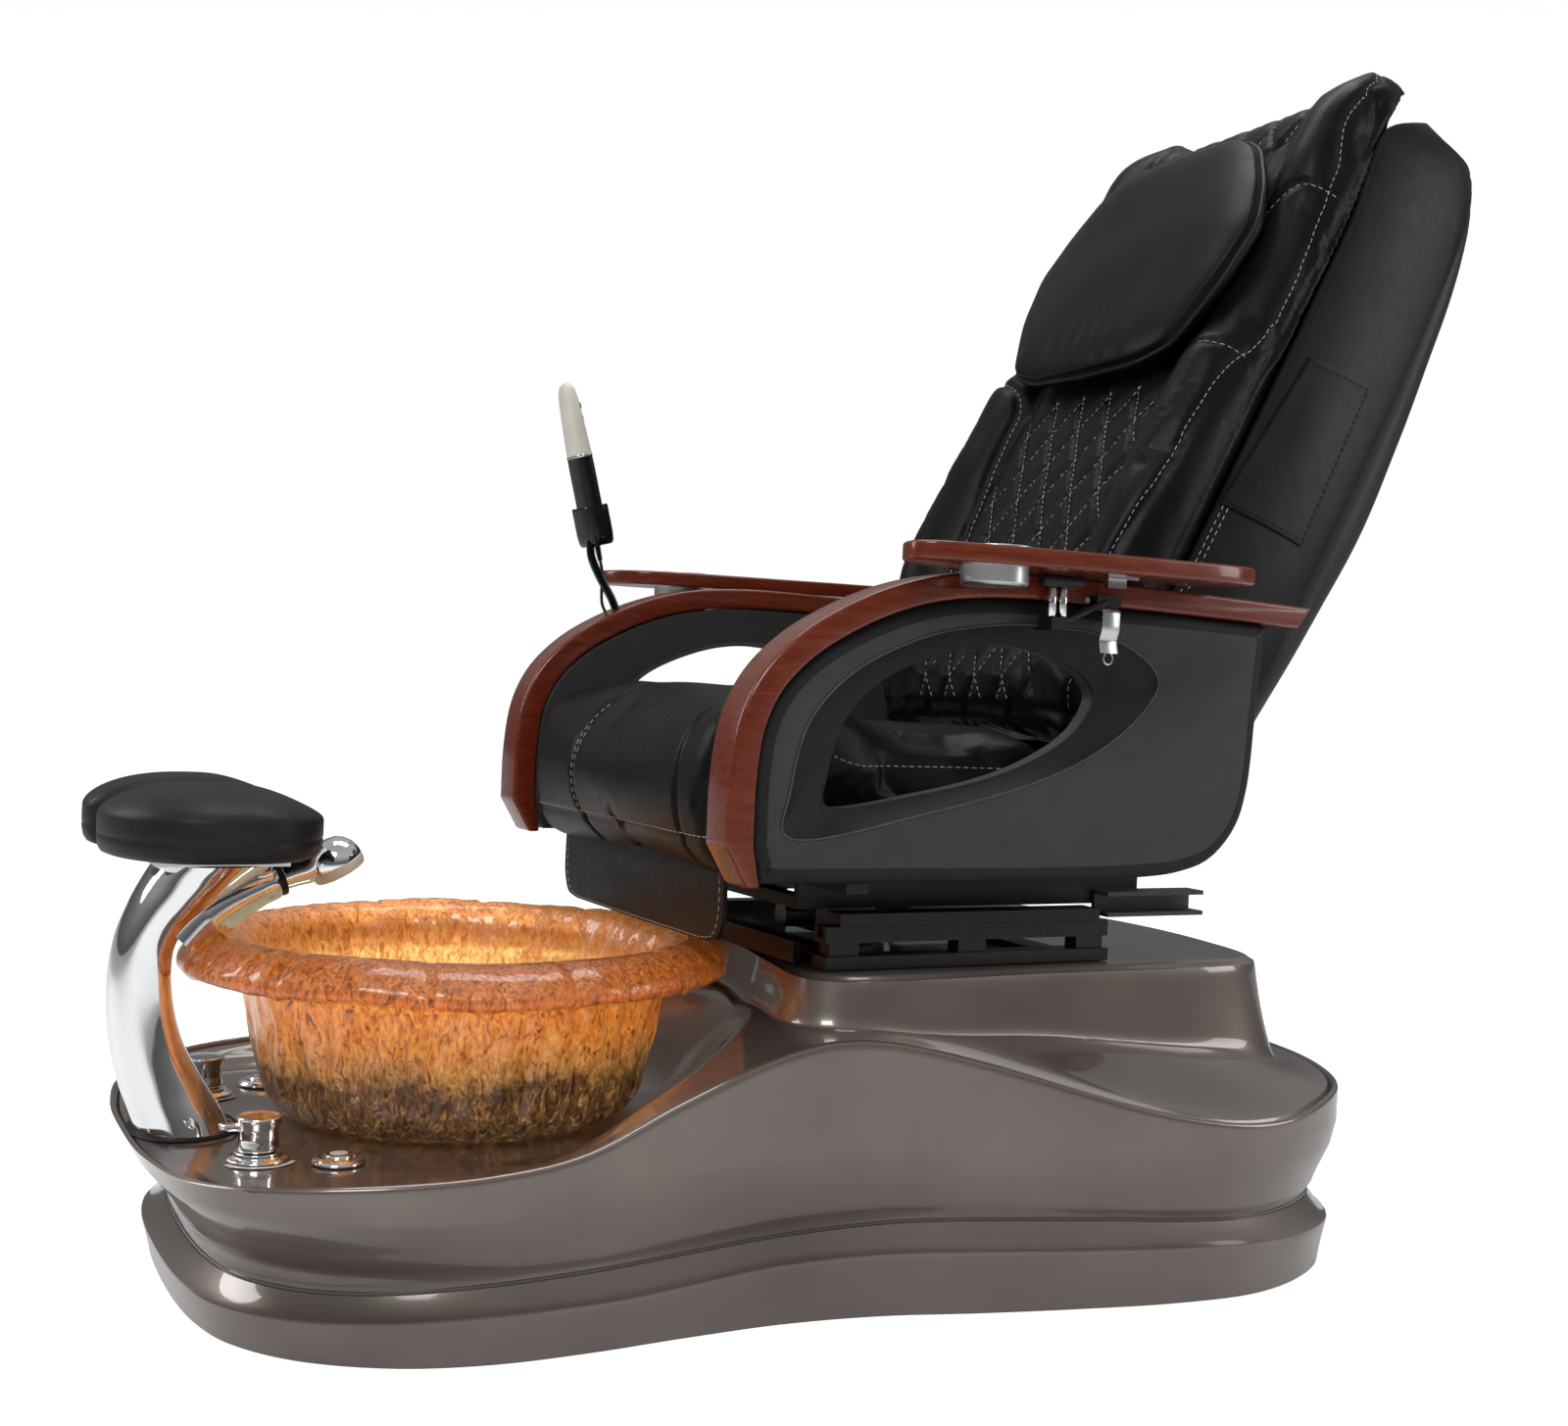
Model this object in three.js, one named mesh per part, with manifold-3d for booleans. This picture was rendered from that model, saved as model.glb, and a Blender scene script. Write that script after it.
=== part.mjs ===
// Pedicure spa chair: a glossy tub base with a glass foot bowl, a chrome column that carries the footrest
// and the pull-out spray, and a massage seat on slide rails with lifting arms and folding trays.
// Millimetres, +Z up. The origin is on the floor under the middle of the base. The client faces -X, so
// the client's left is -Y and "left" pieces are mirrored to "right" ones across y = 0.
import * as THREE from 'three';
import { mergeVertices } from 'three/addons/utils/BufferGeometryUtils.js';
import Module from 'manifold-3d';

const wasm = await Module();
wasm.setup();

// Driving dimensions ---------------------------------------------------------------------------------

const GAP = 0.3;                     // clearance between two pieces that touch
const SIDES = [['left', -1], ['right', 1]];

// base
const DECK_Z = 157;                  // flat front deck that carries the bowl and the fittings
const PLATFORM_Z = 338;              // top of the seat platform
const SHELL_WALL = 14;               // wall thickness of the tub shell
const FRAME_SHEET = 8;               // thickness of the base frame's floor plates

// bowl
const BOWL_X = -357;                 // vertical axis of the glass bowl, on y = 0
const BOWL_RIM_Z = 356;
const BOWL_RIM_R = 296;
const BOWL_FLOOR_Z = 168;            // upper face of the glass floor
const DRAIN_X = BOWL_X - 70;
const JET_X = BOWL_X + 60;

// column, footrest and spray
const COLUMN_TOP_Z = 432;
const SPRAY_TILT = THREE.MathUtils.degToRad(20);
const SPRAY_MOUTH = new THREE.Vector3(-557, 0, 412);
const PAD_BOTTOM_Z = 446;
const PAD_TOP_Z = 520;

// deck fittings
const KNOB = { x: -597, y: 147, radius: 21.5, top: 200 };
const BUTTON = { x: -527, y: 182, radius: 14, top: 166 };

// slide and seat
const RAIL_Y = 240;
const RAIL_X0 = -36;
const RAIL_X1 = 333;
const SLIDER_TOP_Z = 398;
const SEAT_HALF = 272;               // half width of the seat cushion
const SEAT_PAN_Z = 461;
const HINGE = { x: 360, z: 500 };    // recline axis, parallel to Y
const CRANK_DROP = 64;               // crank pin of the recline actuator below that axis

// arms and trays
const ARM_IN = 292;                  // |y| of the arm's inner face
const ARM_OUT = 345;                 // |y| of the wood's outer face
const PANEL_OUT = 338;               // |y| of the outer panel's face
const PANEL_SPLIT = 317;             // |y| where outer and inner panels meet
const ARM_PIVOT = { x: 400, z: 482 };
const TRAY_HINGE = { y: 362, z: 760 };
const TRAY_Z0 = 766.6;
const TRAY_Z1 = 785.6;
const POST_X = 170;
const CUP = { x: 65, y: 392, radius: 35, bottom: 747 };

// back: local frame at the foot of the cushion, X through the thickness, Z up along the back
const BACK_TILT = THREE.MathUtils.degToRad(28);
const BACK_FOOT = new THREE.Vector3(300, 0, 590);
const FRAME_T = 95;                  // depth of the back frame behind the cushion's seam plane

// remote on the right arm: local frame leans forward
const REMOTE_FOOT = new THREE.Vector3(-88, 320, 812);
const REMOTE_TILT = THREE.MathUtils.degToRad(-14.5);

// Materials ------------------------------------------------------------------------------------------

function material(color, roughness, metalness, opacity = 1) {
  return new THREE.MeshStandardMaterial({ color, roughness, metalness, opacity, transparent: opacity < 1 });
}

const TAUPE = material(0x6e645c, 0.25, 0.5);
const AMBER = material(0xb5541a, 0.1, 0, 0.6);
const CHROME = material(0xd8dadc, 0.08, 1);
const STEEL = material(0xb9bbbd, 0.35, 1);
const BLACK_STEEL = material(0x17181a, 0.45, 0.6);
const CHARCOAL = material(0x3b3c3e, 0.6, 0);
const LEATHER = material(0x141415, 0.45, 0);
const MAHOGANY = material(0x5a2012, 0.25, 0);
const PANEL_GREY = material(0x3a3b3d, 0.7, 0.1);
const BLACK_PLASTIC = material(0x101112, 0.5, 0);
const IVORY = material(0xdcd8cb, 0.4, 0);
const PIPE_GREY = material(0x8d9093, 0.5, 0);
const ALUMINIUM = material(0x9fa3a6, 0.4, 0.9);

// Solids ---------------------------------------------------------------------------------------------

const v2 = (x, y) => new THREE.Vector2(x, y);
const v3 = (x, y, z) => new THREE.Vector3(x, y, z);
const SPRAY_AXIS = v3(Math.cos(SPRAY_TILT), 0, Math.sin(SPRAY_TILT));

function solid(geometry) {
  const bare = geometry.clone();
  bare.deleteAttribute('normal');
  bare.deleteAttribute('uv');
  const welded = mergeVertices(bare, 1e-4);
  const mesh = new wasm.Mesh({
    numProp: 3,
    vertProperties: Float32Array.from(welded.attributes.position.array),
    triVerts: Uint32Array.from(welded.index.array),
  });
  return new wasm.Manifold(mesh);
}

function union(parts) {
  return parts.reduce((whole, part) => whole.add(part));
}

function cut(body, parts) {
  return parts.reduce((rest, part) => rest.subtract(part), body);
}

function box(x0, x1, y0, y1, z0, z1) {
  const geometry = new THREE.BoxGeometry(Math.abs(x1 - x0), Math.abs(y1 - y0), Math.abs(z1 - z0));
  return solid(geometry.translate((x0 + x1) / 2, (y0 + y1) / 2, (z0 + z1) / 2));
}

// round bar from one point to another, tapered when a second radius is given
function bar(from, to, radius, sides = 16, endRadius = radius) {
  const axis = to.clone().sub(from);
  const geometry = new THREE.CylinderGeometry(endRadius, radius, axis.length(), sides);
  const turn = new THREE.Quaternion().setFromUnitVectors(v3(0, 1, 0), axis.clone().normalize());
  geometry.applyQuaternion(turn);
  const middle = from.clone().add(to).multiplyScalar(0.5);
  return solid(geometry.translate(middle.x, middle.y, middle.z));
}

const upright = (x, y, z0, z1, radius, sides) => bar(v3(x, y, z0), v3(x, y, z1), radius, sides);
const crosswise = (x, z, y0, y1, radius, sides) => bar(v3(x, y0, z), v3(x, y1, z), radius, sides);

// profile of [radius, height] pairs turned about a vertical axis
function turned(profile, x, y, segments) {
  const geometry = new THREE.LatheGeometry(profile.map(([radius, z]) => v2(radius, z)), segments);
  return solid(geometry.rotateX(Math.PI / 2).translate(x, y, 0));
}

function extruded(shape, depth) {
  return new THREE.ExtrudeGeometry(shape, { depth, bevelEnabled: false, steps: 1 });
}

// outline in X and Y, between two heights
function slab(points, z0, z1) {
  return solid(extruded(new THREE.Shape(points), z1 - z0).translate(0, 0, z0));
}

// outline in X and Z (the points' y is the height), between two values of y
function plate(points, y0, y1) {
  const geometry = extruded(new THREE.Shape(points), Math.abs(y1 - y0));
  return solid(geometry.rotateX(Math.PI / 2).translate(0, Math.max(y0, y1), 0));
}

// closed body through rings of equal length, with a fan over each end
function loft(rings) {
  const count = rings[0].length;
  const points = rings.flat();
  const triangles = [];
  for (let r = 0; r + 1 < rings.length; r += 1) {
    for (let i = 0; i < count; i += 1) {
      const a = r * count + i;
      const b = r * count + ((i + 1) % count);
      triangles.push(a, b, a + count, b, b + count, a + count);
    }
  }
  for (const [ring, flip] of [[0, true], [rings.length - 1, false]]) {
    const centre = points.length;
    const middle = v3(0, 0, 0);
    rings[ring].forEach((point) => middle.add(point));
    points.push(middle.divideScalar(count));
    for (let i = 0; i < count; i += 1) {
      const a = ring * count + i;
      const b = ring * count + ((i + 1) % count);
      triangles.push(centre, flip ? b : a, flip ? a : b);
    }
  }
  return faced(points, triangles);
}

// geometry of shared points and triangles, turned inside out when its faces point in
function faced(points, triangles) {
  let volume = 0;
  for (let i = 0; i < triangles.length; i += 3) {
    const [a, b, c] = [0, 1, 2].map((k) => points[triangles[i + k]]);
    volume += a.dot(b.clone().cross(c));
  }
  if (volume < 0) {
    triangles.reverse();
  }
  const geometry = new THREE.BufferGeometry().setFromPoints(points);
  geometry.setIndex(triangles);
  return solid(geometry);
}

const chair = new THREE.Group();

function add(name, body, look, parent = chair) {
  const mesh = body.getMesh();
  const geometry = new THREE.BufferGeometry();
  geometry.setAttribute('position', new THREE.BufferAttribute(mesh.vertProperties, 3));
  geometry.setIndex(new THREE.BufferAttribute(mesh.triVerts, 1));
  geometry.computeVertexNormals();
  const piece = new THREE.Mesh(geometry, look);
  piece.name = name;
  parent.add(piece);
}

// Curves ---------------------------------------------------------------------------------------------

// smooth curve through [x, y] points, sampled evenly
function smooth(points, count, closed = false) {
  const curve = new THREE.CatmullRomCurve3(points.map(([x, y]) => v3(x, y, 0)), closed, 'centripetal');
  curve.arcLengthDivisions = 800;
  const samples = curve.getSpacedPoints(count).map((point) => v2(point.x, point.y));
  return closed ? samples.slice(0, -1) : samples;
}

// whole outline from the half with y >= 0 that runs from the front tip to the rear tip
function mirrored(half) {
  const other = half.slice(1, -1).reverse().map(([x, y]) => [x, -y]);
  return half.concat(other);
}

// outline moved outwards by a distance (inwards when negative)
function offset(points, distance) {
  const count = points.length;
  let area = 0;
  points.forEach((point, i) => {
    area += point.cross(points[(i + 1) % count]);
  });
  return points.map((point, i) => {
    const along = points[(i + 1) % count].clone().sub(points[(i + count - 1) % count]).normalize();
    const out = v2(along.y, -along.x).multiplyScalar(distance * Math.sign(area));
    return point.clone().add(out);
  });
}

const raised = (points, z) => points.map((point) => v3(point.x, point.y, z));

function between(low, high, value) {
  return THREE.MathUtils.smoothstep(value, Math.min(low, high), Math.max(low, high));
}

// value at x on a smooth curve through [x, value] pairs with rising x
function profileAt(pairs, x) {
  const last = pairs.length - 1;
  if (x <= pairs[0][0]) {
    return pairs[0][1];
  }
  if (x >= pairs[last][0]) {
    return pairs[last][1];
  }
  const i = pairs.findIndex((pair) => pair[0] > x) - 1;
  const slope = (k) => {
    const a = pairs[Math.max(k - 1, 0)];
    const b = pairs[Math.min(k + 1, last)];
    return (b[1] - a[1]) / (b[0] - a[0]);
  };
  const width = pairs[i + 1][0] - pairs[i][0];
  const u = (x - pairs[i][0]) / width;
  const bend = u * u * (3 - 2 * u);
  const lift = width * (slope(i) * u * (1 - u) ** 2 - slope(i + 1) * u * u * (1 - u));
  return pairs[i][1] * (1 - bend) + pairs[i + 1][1] * bend + lift;
}

// Base: plinth, tub shell and frame ------------------------------------------------------------------

const OUTLINE_COUNT = 42;
const PLINTH_LINE = smooth(mirrored([
  [-660, 0], [-652, 137], [-632, 206], [-584, 272], [-506, 323], [-421, 346], [-326, 350], [-222, 345],
  [-115, 344], [-10, 358], [90, 386], [197, 412], [306, 433], [410, 438], [501, 411], [570, 362],
  [625, 270], [652, 140], [660, 0],
]), OUTLINE_COUNT, true);
const RIM_LINE = smooth(mirrored([
  [-705, 0], [-699, 130], [-673, 240], [-612, 315], [-524, 357], [-430, 366], [-338, 362], [-240, 357],
  [-136, 352], [-60, 354], [60, 375], [170, 405], [290, 436], [390, 446], [480, 432], [574, 380],
  [632, 280], [660, 150], [668, 0],
]), OUTLINE_COUNT, true);
// height of the crease round the tub shell, along X
const CREASE = [
  [-705, 162], [-600, 174], [-524, 178], [-430, 181], [-338, 193], [-240, 233], [-136, 270], [-70, 283],
  [0, 279], [100, 255], [290, 203], [425, 188], [574, 206], [668, 214],
];
// height of the plinth's crisp edge, and of the groove in which the tub shell stands, along X
const PLINTH_EDGE = [
  [-660, 40], [-556, 44], [-423, 50], [-277, 53], [-119, 65], [44, 69], [208, 66], [381, 62], [527, 56],
  [660, 52],
];
const GROOVE = [
  [-660, 58], [-556, 61], [-423, 69], [-277, 75], [-119, 85], [44, 93], [208, 90], [381, 81], [527, 80],
  [660, 80],
];
const LOWEST_GROOVE = 40;
const HIGHEST_GROOVE = 96;
// height where the shoulder meets the platform's walls
const SHOULDER = [[-110, 290], [50, 286], [290, 258], [526, 234], [668, 222]];

function distanceInside(line, x, y) {
  let least = Infinity;
  line.forEach((a, i) => {
    const b = line[(i + 1) % line.length];
    const edge = b.clone().sub(a);
    const along = THREE.MathUtils.clamp(((x - a.x) * edge.x + (y - a.y) * edge.y) / edge.lengthSq(), 0, 1);
    least = Math.min(least, Math.hypot(a.x + edge.x * along - x, a.y + edge.y * along - y));
  });
  return least;
}

// height of the tub's upper surface without the platform: flat deck, cradle behind the bowl, shoulders
function topHeight(x, y) {
  const edge = distanceInside(RIM_LINE, x, y);
  const crease = profileAt(CREASE, x);
  const lip = 1 - between(4, 38, edge);
  const cradle = between(214, 335, Math.hypot(x - BOWL_X, y));
  const rearward = between(-500, -260, x);
  const rise = lip * (1 - rearward) + cradle * rearward;
  const front = DECK_Z + (crease - DECK_Z) * rise;
  const shoulder = crease + (profileAt(SHOULDER, x) - crease) * between(0, 130, edge);
  return THREE.MathUtils.lerp(front, shoulder, between(-120, 10, x));
}

// body under the upper surface, on a grid
function under(height, step) {
  const columns = Math.round(1440 / step);
  const rows = Math.round(940 / step);
  const points = [];
  const triangles = [];
  const index = (i, j, layer) => layer * (columns + 1) * (rows + 1) + j * (columns + 1) + i;
  for (const layer of [0, 1]) {
    for (let j = 0; j <= rows; j += 1) {
      for (let i = 0; i <= columns; i += 1) {
        const x = -740 + (1440 * i) / columns;
        const y = -470 + (940 * j) / rows;
        points.push(v3(x, y, layer ? height(x, y) : 0));
      }
    }
  }
  const quad = (a, b, c, d) => triangles.push(a, b, c, a, c, d);
  for (let j = 0; j < rows; j += 1) {
    for (let i = 0; i < columns; i += 1) {
      quad(index(i, j, 1), index(i + 1, j, 1), index(i + 1, j + 1, 1), index(i, j + 1, 1));
      quad(index(i, j, 0), index(i, j + 1, 0), index(i + 1, j + 1, 0), index(i + 1, j, 0));
    }
  }
  for (let i = 0; i < columns; i += 1) {
    quad(index(i, 0, 0), index(i + 1, 0, 0), index(i + 1, 0, 1), index(i, 0, 1));
    quad(index(i + 1, rows, 0), index(i, rows, 0), index(i, rows, 1), index(i + 1, rows, 1));
  }
  for (let j = 0; j < rows; j += 1) {
    quad(index(0, j + 1, 0), index(0, j, 0), index(0, j, 1), index(0, j + 1, 1));
    quad(index(columns, j, 0), index(columns, j + 1, 0), index(columns, j + 1, 1), index(columns, j, 1));
  }
  return faced(points, triangles);
}

// outline of the seat platform: straight sides, concave front round the bowl, rear bulging backwards
function platformLine(side, front, rear) {
  const half = [
    [-22 - front, 0], [-44 - front, 130], [-60 - front, 255 + side / 2], [-34, 285 + side],
    [230, 287 + side], [515, 281 + side], [556 + rear, 250 + side], [588 + rear, 130], [600 + rear, 0],
  ];
  return smooth(mirrored(half), 32, true);
}

// outline with a height that follows a profile along X
function following(points, profile, lift = 0) {
  return points.map((point) => v3(point.x, point.y, profileAt(profile, point.x) + lift));
}

function wallLine(share) {
  const low = offset(PLINTH_LINE, -16);
  return low.map((point, i) => point.clone().lerp(RIM_LINE[i], share));
}

function buildBase() {
  const skirt = loft([
    raised(PLINTH_LINE, 0),
    following(offset(PLINTH_LINE, 9), PLINTH_EDGE),
    following(offset(PLINTH_LINE, -14), GROOVE, -GAP),
  ]);
  const inner = offset(PLINTH_LINE, -24);
  const inside = loft([raised(inner, -1), raised(inner, HIGHEST_GROOVE)]);
  add('plinth', skirt.subtract(inside), TAUPE);

  const wall = (inset, foot, z1) => loft([
    foot(offset(wallLine(0), -inset)),
    raised(offset(wallLine(0.35), -inset), 108),
    raised(offset(wallLine(0.78), -inset), 138),
    raised(offset(wallLine(1), -inset), 166),
    raised(offset(wallLine(1), -inset), z1),
  ]);
  const platform = loft([
    raised(platformLine(26, 62, 22), 190),
    raised(platformLine(14, 34, 12), 290),
    raised(platformLine(2, 3, 2), PLATFORM_Z - 7),
    raised(platformLine(-5, -5, -5), PLATFORM_Z),
  ]);
  const below = under((x, y) => topHeight(x, y) - SHELL_WALL, 120);
  const hollow = wall(SHELL_WALL, (line) => raised(line, LOWEST_GROOVE), 300).intersect(below);
  const platformHollow = loft([
    raised(platformLine(-8, 10, -6), LOWEST_GROOVE),
    raised(platformLine(-18, -16, -16), PLATFORM_Z - SHELL_WALL),
  ]);
  const top = wall(0, (line) => following(line, GROOVE), 320).intersect(under(topHeight, 56));
  const shell = cut(top.add(platform), [
    hollow,
    platformHollow,
    columnFoot(0.4),
    upright(DRAIN_X, 0, 100, 200, 24, 20),
    upright(JET_X, 0, 100, 200, 36, 24),
  ]);
  add('tub_shell', shell, TAUPE);

  const posts = [];
  for (const x of [20, 480]) {
    for (const y of [-170, 170]) {
      posts.push(box(x - 20, x + 20, y - 20, y + 20, FRAME_SHEET / 2, PLATFORM_Z - SHELL_WALL - 1));
    }
  }
  const frame = union([
    box(-540, 540, -40, 40, 0, FRAME_SHEET),
    box(-430, -370, -280, 280, 0, FRAME_SHEET),
    box(0, 40, -290, 290, 0, FRAME_SHEET),
    box(460, 500, -290, 290, 0, FRAME_SHEET),
    ...posts,
  ]);
  add('base_frame', frame, BLACK_STEEL);
}

// Bowl, drain and jet --------------------------------------------------------------------------------

function buildBowl() {
  const profile = [
    [0, DECK_Z + GAP], [158, DECK_Z + GAP], [188, 165], [205, 190], [221, 270], [228, 318],
    [284, 326], [BOWL_RIM_R, 338], [286, 351], [264, BOWL_RIM_Z], [236, 350], [218, 334],
    [206, 240], [190, 184], [156, BOWL_FLOOR_Z], [0, BOWL_FLOOR_Z],
  ];
  const bowl = cut(turned(profile, BOWL_X, 0, 24), [
    upright(DRAIN_X, 0, 150, 200, 22, 20),
    upright(JET_X, 0, 150, 200, 34, 24),
  ]);
  add('glass_bowl', bowl, AMBER);

  const sleeve = [
    [17, 120], [21, 120], [21, BOWL_FLOOR_Z + GAP], [32, BOWL_FLOOR_Z + GAP], [31, 171], [17, 171], [17, 120],
  ];
  add('drain_flange', turned(sleeve, DRAIN_X, 0, 16), CHROME);
  const stopper = turned([[0, 135], [5, 135], [5, 171.5], [25, 171.5], [23, 175], [0, 177]], DRAIN_X, 0, 16);
  add('drain_stopper', stopper, CHROME);

  const ring = new THREE.Shape().absarc(0, 0, 21, 0, Math.PI * 2);
  ring.holes.push(new THREE.Path().absarc(0, 0, 17.5, 0, Math.PI * 2));
  const route = new THREE.CatmullRomCurve3([
    v3(DRAIN_X, 0, 119.5), v3(DRAIN_X, 0, 84), v3(DRAIN_X + 14, 0, 52), v3(DRAIN_X + 46, 0, 38),
    v3(DRAIN_X + 100, 0, 36),
  ]);
  const pipe = new THREE.ExtrudeGeometry(ring, { steps: 8, extrudePath: route, curveSegments: 4 });
  add('drain_tailpipe', solid(pipe), PIPE_GREY);

  const neck = turned([
    [0, 140], [33, 140], [33, BOWL_FLOOR_Z + GAP], [42, BOWL_FLOOR_Z + GAP], [40, 172], [0, 172],
  ], JET_X, 0, 18);
  const motor = union([
    upright(JET_X, 0, 66, 141, 37, 16),
    box(JET_X + 20, JET_X + 56, -14, 14, 80, 120),
  ]);
  add('jet_pump', neck.add(motor), BLACK_PLASTIC);
  const blades = [0, 1, 2, 3].map((k) => {
    const angle = (k * Math.PI) / 2;
    const wide = new THREE.BoxGeometry(24, 4, 9).translate(16, 0, 0).rotateZ(angle);
    return solid(wide.translate(JET_X, 0, 179));
  });
  const impeller = union([upright(JET_X, 0, 173, 185, 8, 16), ...blades]);
  add('jet_impeller', impeller, IVORY);
  const slots = [0, 1, 2].map((k) => {
    const slot = new THREE.BoxGeometry(90, 14, 8).rotateZ((k * Math.PI) / 3);
    return solid(slot.translate(JET_X, 0, 181));
  });
  const lid = turned([
    [34, 172.4], [38, 172.4], [38, 188], [32, 193], [12, 193], [12, 189], [34, 188], [34, 172.4],
  ], JET_X, 0, 14);
  add('jet_cap', cut(lid, slots), CHROME);
}

// Column, footrest and spray -------------------------------------------------------------------------

// level sections of the column: height, front and rear x, half width
const COLUMN_LEVELS = [
  [150.3, -692, -595, 60], [176, -698, -606, 55], [205, -708, -624, 49], [250, -719, -648, 43],
  [303, -723, -660, 40], [350, -718, -658, 42], [388, -705, -625, 50], [414, -692, -588, 58],
  [COLUMN_TOP_Z, -681, -562, 66],
];

function columnRing([z, x0, x1, half], grow = 0) {
  const ring = [];
  for (let k = 0; k < 16; k += 1) {
    const angle = (k / 16) * Math.PI * 2;
    const round = (value) => Math.sign(value) * Math.abs(value) ** 0.8;
    const x = (x0 + x1) / 2 + (grow + (x1 - x0) / 2) * round(Math.cos(angle));
    ring.push(v3(x, (half + grow) * round(Math.sin(angle)), z));
  }
  return ring;
}

function columnFoot(clearance) {
  const [foot, ankle] = COLUMN_LEVELS;
  return loft([columnRing([150, ...foot.slice(1)], clearance), columnRing(ankle, clearance)]);
}

const onSpray = (distance) => SPRAY_MOUTH.clone().addScaledVector(SPRAY_AXIS, distance);

function buildColumn() {
  const swoosh = loft(COLUMN_LEVELS.map((level) => columnRing(level)));
  const socket = bar(onSpray(-62), onSpray(0), 19, 14);
  const bore = bar(onSpray(-52), onSpray(2), 14, 14);
  const lid = box(-760, -500, -100, 100, COLUMN_TOP_Z, COLUMN_TOP_Z + 60);
  add('column', cut(swoosh.add(socket), [bore, lid]), CHROME);

  const ring = bar(onSpray(GAP), onSpray(7), 18, 14).subtract(bar(onSpray(-1), onSpray(9), 13.4, 14));
  add('spray_socket', ring, BLACK_PLASTIC);
  const head = v3(-496, 0, 430);
  const facing = v3(0.5, 0, -0.866);
  const from = (distance) => head.clone().addScaledVector(facing, distance);
  const handle = union([
    bar(onSpray(-46), onSpray(38), 12.5, 12),
    bar(onSpray(30), from(-9), 12.5, 12, 15),
    bar(from(-13), from(-4), 18, 14, 27),
    bar(from(-4), from(9), 27, 14),
  ]);
  add('spray_handle', handle, CHROME);
  add('spray_face', bar(from(9 + GAP), from(12.5), 23, 18), IVORY);
}

function buildFootrest() {
  const bracket = union([
    box(-688, -556, -58, 58, COLUMN_TOP_Z + GAP, COLUMN_TOP_Z + 5),
    box(-670, -580, -12, 12, COLUMN_TOP_Z + 4, PAD_BOTTOM_Z - 0.8),
  ]);
  add('footrest_bracket', bracket, STEEL);

  const lobe = (side) => {
    const ring = (z, inset) => {
      const points = [];
      for (let k = 0; k < 18; k += 1) {
        const angle = (k / 18) * Math.PI * 2;
        const heel = 1 - 0.12 * Math.cos(angle);
        const x = -638 + (108 - inset) * Math.cos(angle);
        points.push(v3(x, side * 93 + (102 - inset) * heel * Math.sin(angle), z));
      }
      return points;
    };
    return loft([
      ring(PAD_BOTTOM_Z, 12), ring(PAD_BOTTOM_Z + 14, 0), ring(PAD_BOTTOM_Z + 46, 4),
      ring(PAD_TOP_Z - 9, 26), ring(PAD_TOP_Z, 58),
    ]);
  };
  const runner = box(-674, -576, -13, 13, PAD_BOTTOM_Z - 1, PAD_BOTTOM_Z + 1);
  add('footrest_pad', lobe(-1).add(lobe(1)).subtract(runner), CHARCOAL);
}

// Knobs and air buttons on the deck ------------------------------------------------------------------

function buildDeckFittings() {
  for (const [name, side] of SIDES) {
    const y = side * KNOB.y;
    const z0 = DECK_Z + GAP;
    const collar = [[0, z0], [30, z0], [28, 161], [23, 163], [23, 166], [0, 166]];
    add(`knob_base_${name}`, turned(collar, KNOB.x, y, 16), CHROME);
    const barrel = [
      [0, 166.5], [20, 166.5], [20, 190], [KNOB.radius, 197], [KNOB.radius, KNOB.top], [0, KNOB.top],
    ];
    const grip = union([
      turned(barrel, KNOB.x, y, 16),
      bar(v3(KNOB.x - 10, y, 189), v3(KNOB.x - 38, y, 191), 4, 12),
    ]);
    add(`knob_${name}`, grip, CHROME);

    const by = side * BUTTON.y;
    const bore = BUTTON.radius + 1;
    const bezel = [[bore, z0], [26, z0], [25, 160], [20, 163], [bore, 163], [bore, z0]];
    add(`button_bezel_${name}`, turned(bezel, BUTTON.x, by, 16), CHROME);
    const cap = [[0, 161], [BUTTON.radius, 161], [BUTTON.radius, 164], [11, BUTTON.top], [0, BUTTON.top]];
    add(`button_${name}`, turned(cap, BUTTON.x, by, 16), CHROME);
  }
}

// Slide rails and seat frame -------------------------------------------------------------------------

function buildSlide() {
  const z0 = PLATFORM_Z + GAP;
  const base = [
    box(0, 34, -RAIL_Y, RAIL_Y, z0, 346),
    box(270, 304, -RAIL_Y, RAIL_Y, z0, 346),
    box(-46, -38, -200, 200, z0, 362),
    box(-46, 2, -60, 60, z0, 343),
  ];
  for (const side of [-1, 1]) {
    base.push(box(RAIL_X0, RAIL_X1, side * (RAIL_Y - 15), side * (RAIL_Y + 15), z0, 352));
    for (const x of [RAIL_X0 + 6, 132, RAIL_X1 - 42]) {
      base.push(box(x, x + 36, side * (RAIL_Y - 11), side * (RAIL_Y + 11), 351, 366));
    }
  }
  add('slide_base', union(base), BLACK_STEEL);

  for (const [name, side] of SIDES) {
    const y = side * RAIL_Y;
    const rail = box(RAIL_X0, RAIL_X1, y - 13, y + 13, 366 + GAP, 384).subtract(
      box(RAIL_X0 - 1, RAIL_X1 + 1, y - 6, y + 6, 372, 385));
    add(`slide_rail_${name}`, rail, BLACK_STEEL);
    const slider = union([
      box(RAIL_X0 + 15, RAIL_X1 - 15, y - 5, y + 5, 373, 386),
      box(RAIL_X0 + 15, RAIL_X1 - 15, y - 17, y + 17, 384.8, SLIDER_TOP_Z),
    ]);
    add(`slider_${name}`, slider, BLACK_STEEL);
  }

  const motor = union([
    box(70, 150, -34, 34, 346 + GAP, 382),
    bar(v3(40, 0, 364), v3(72, 0, 364), 15, 20),
    bar(v3(149, 0, 364), v3(368, 0, 364), 5, 12),
  ]);
  add('slide_motor', motor, ALUMINIUM);
}

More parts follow.
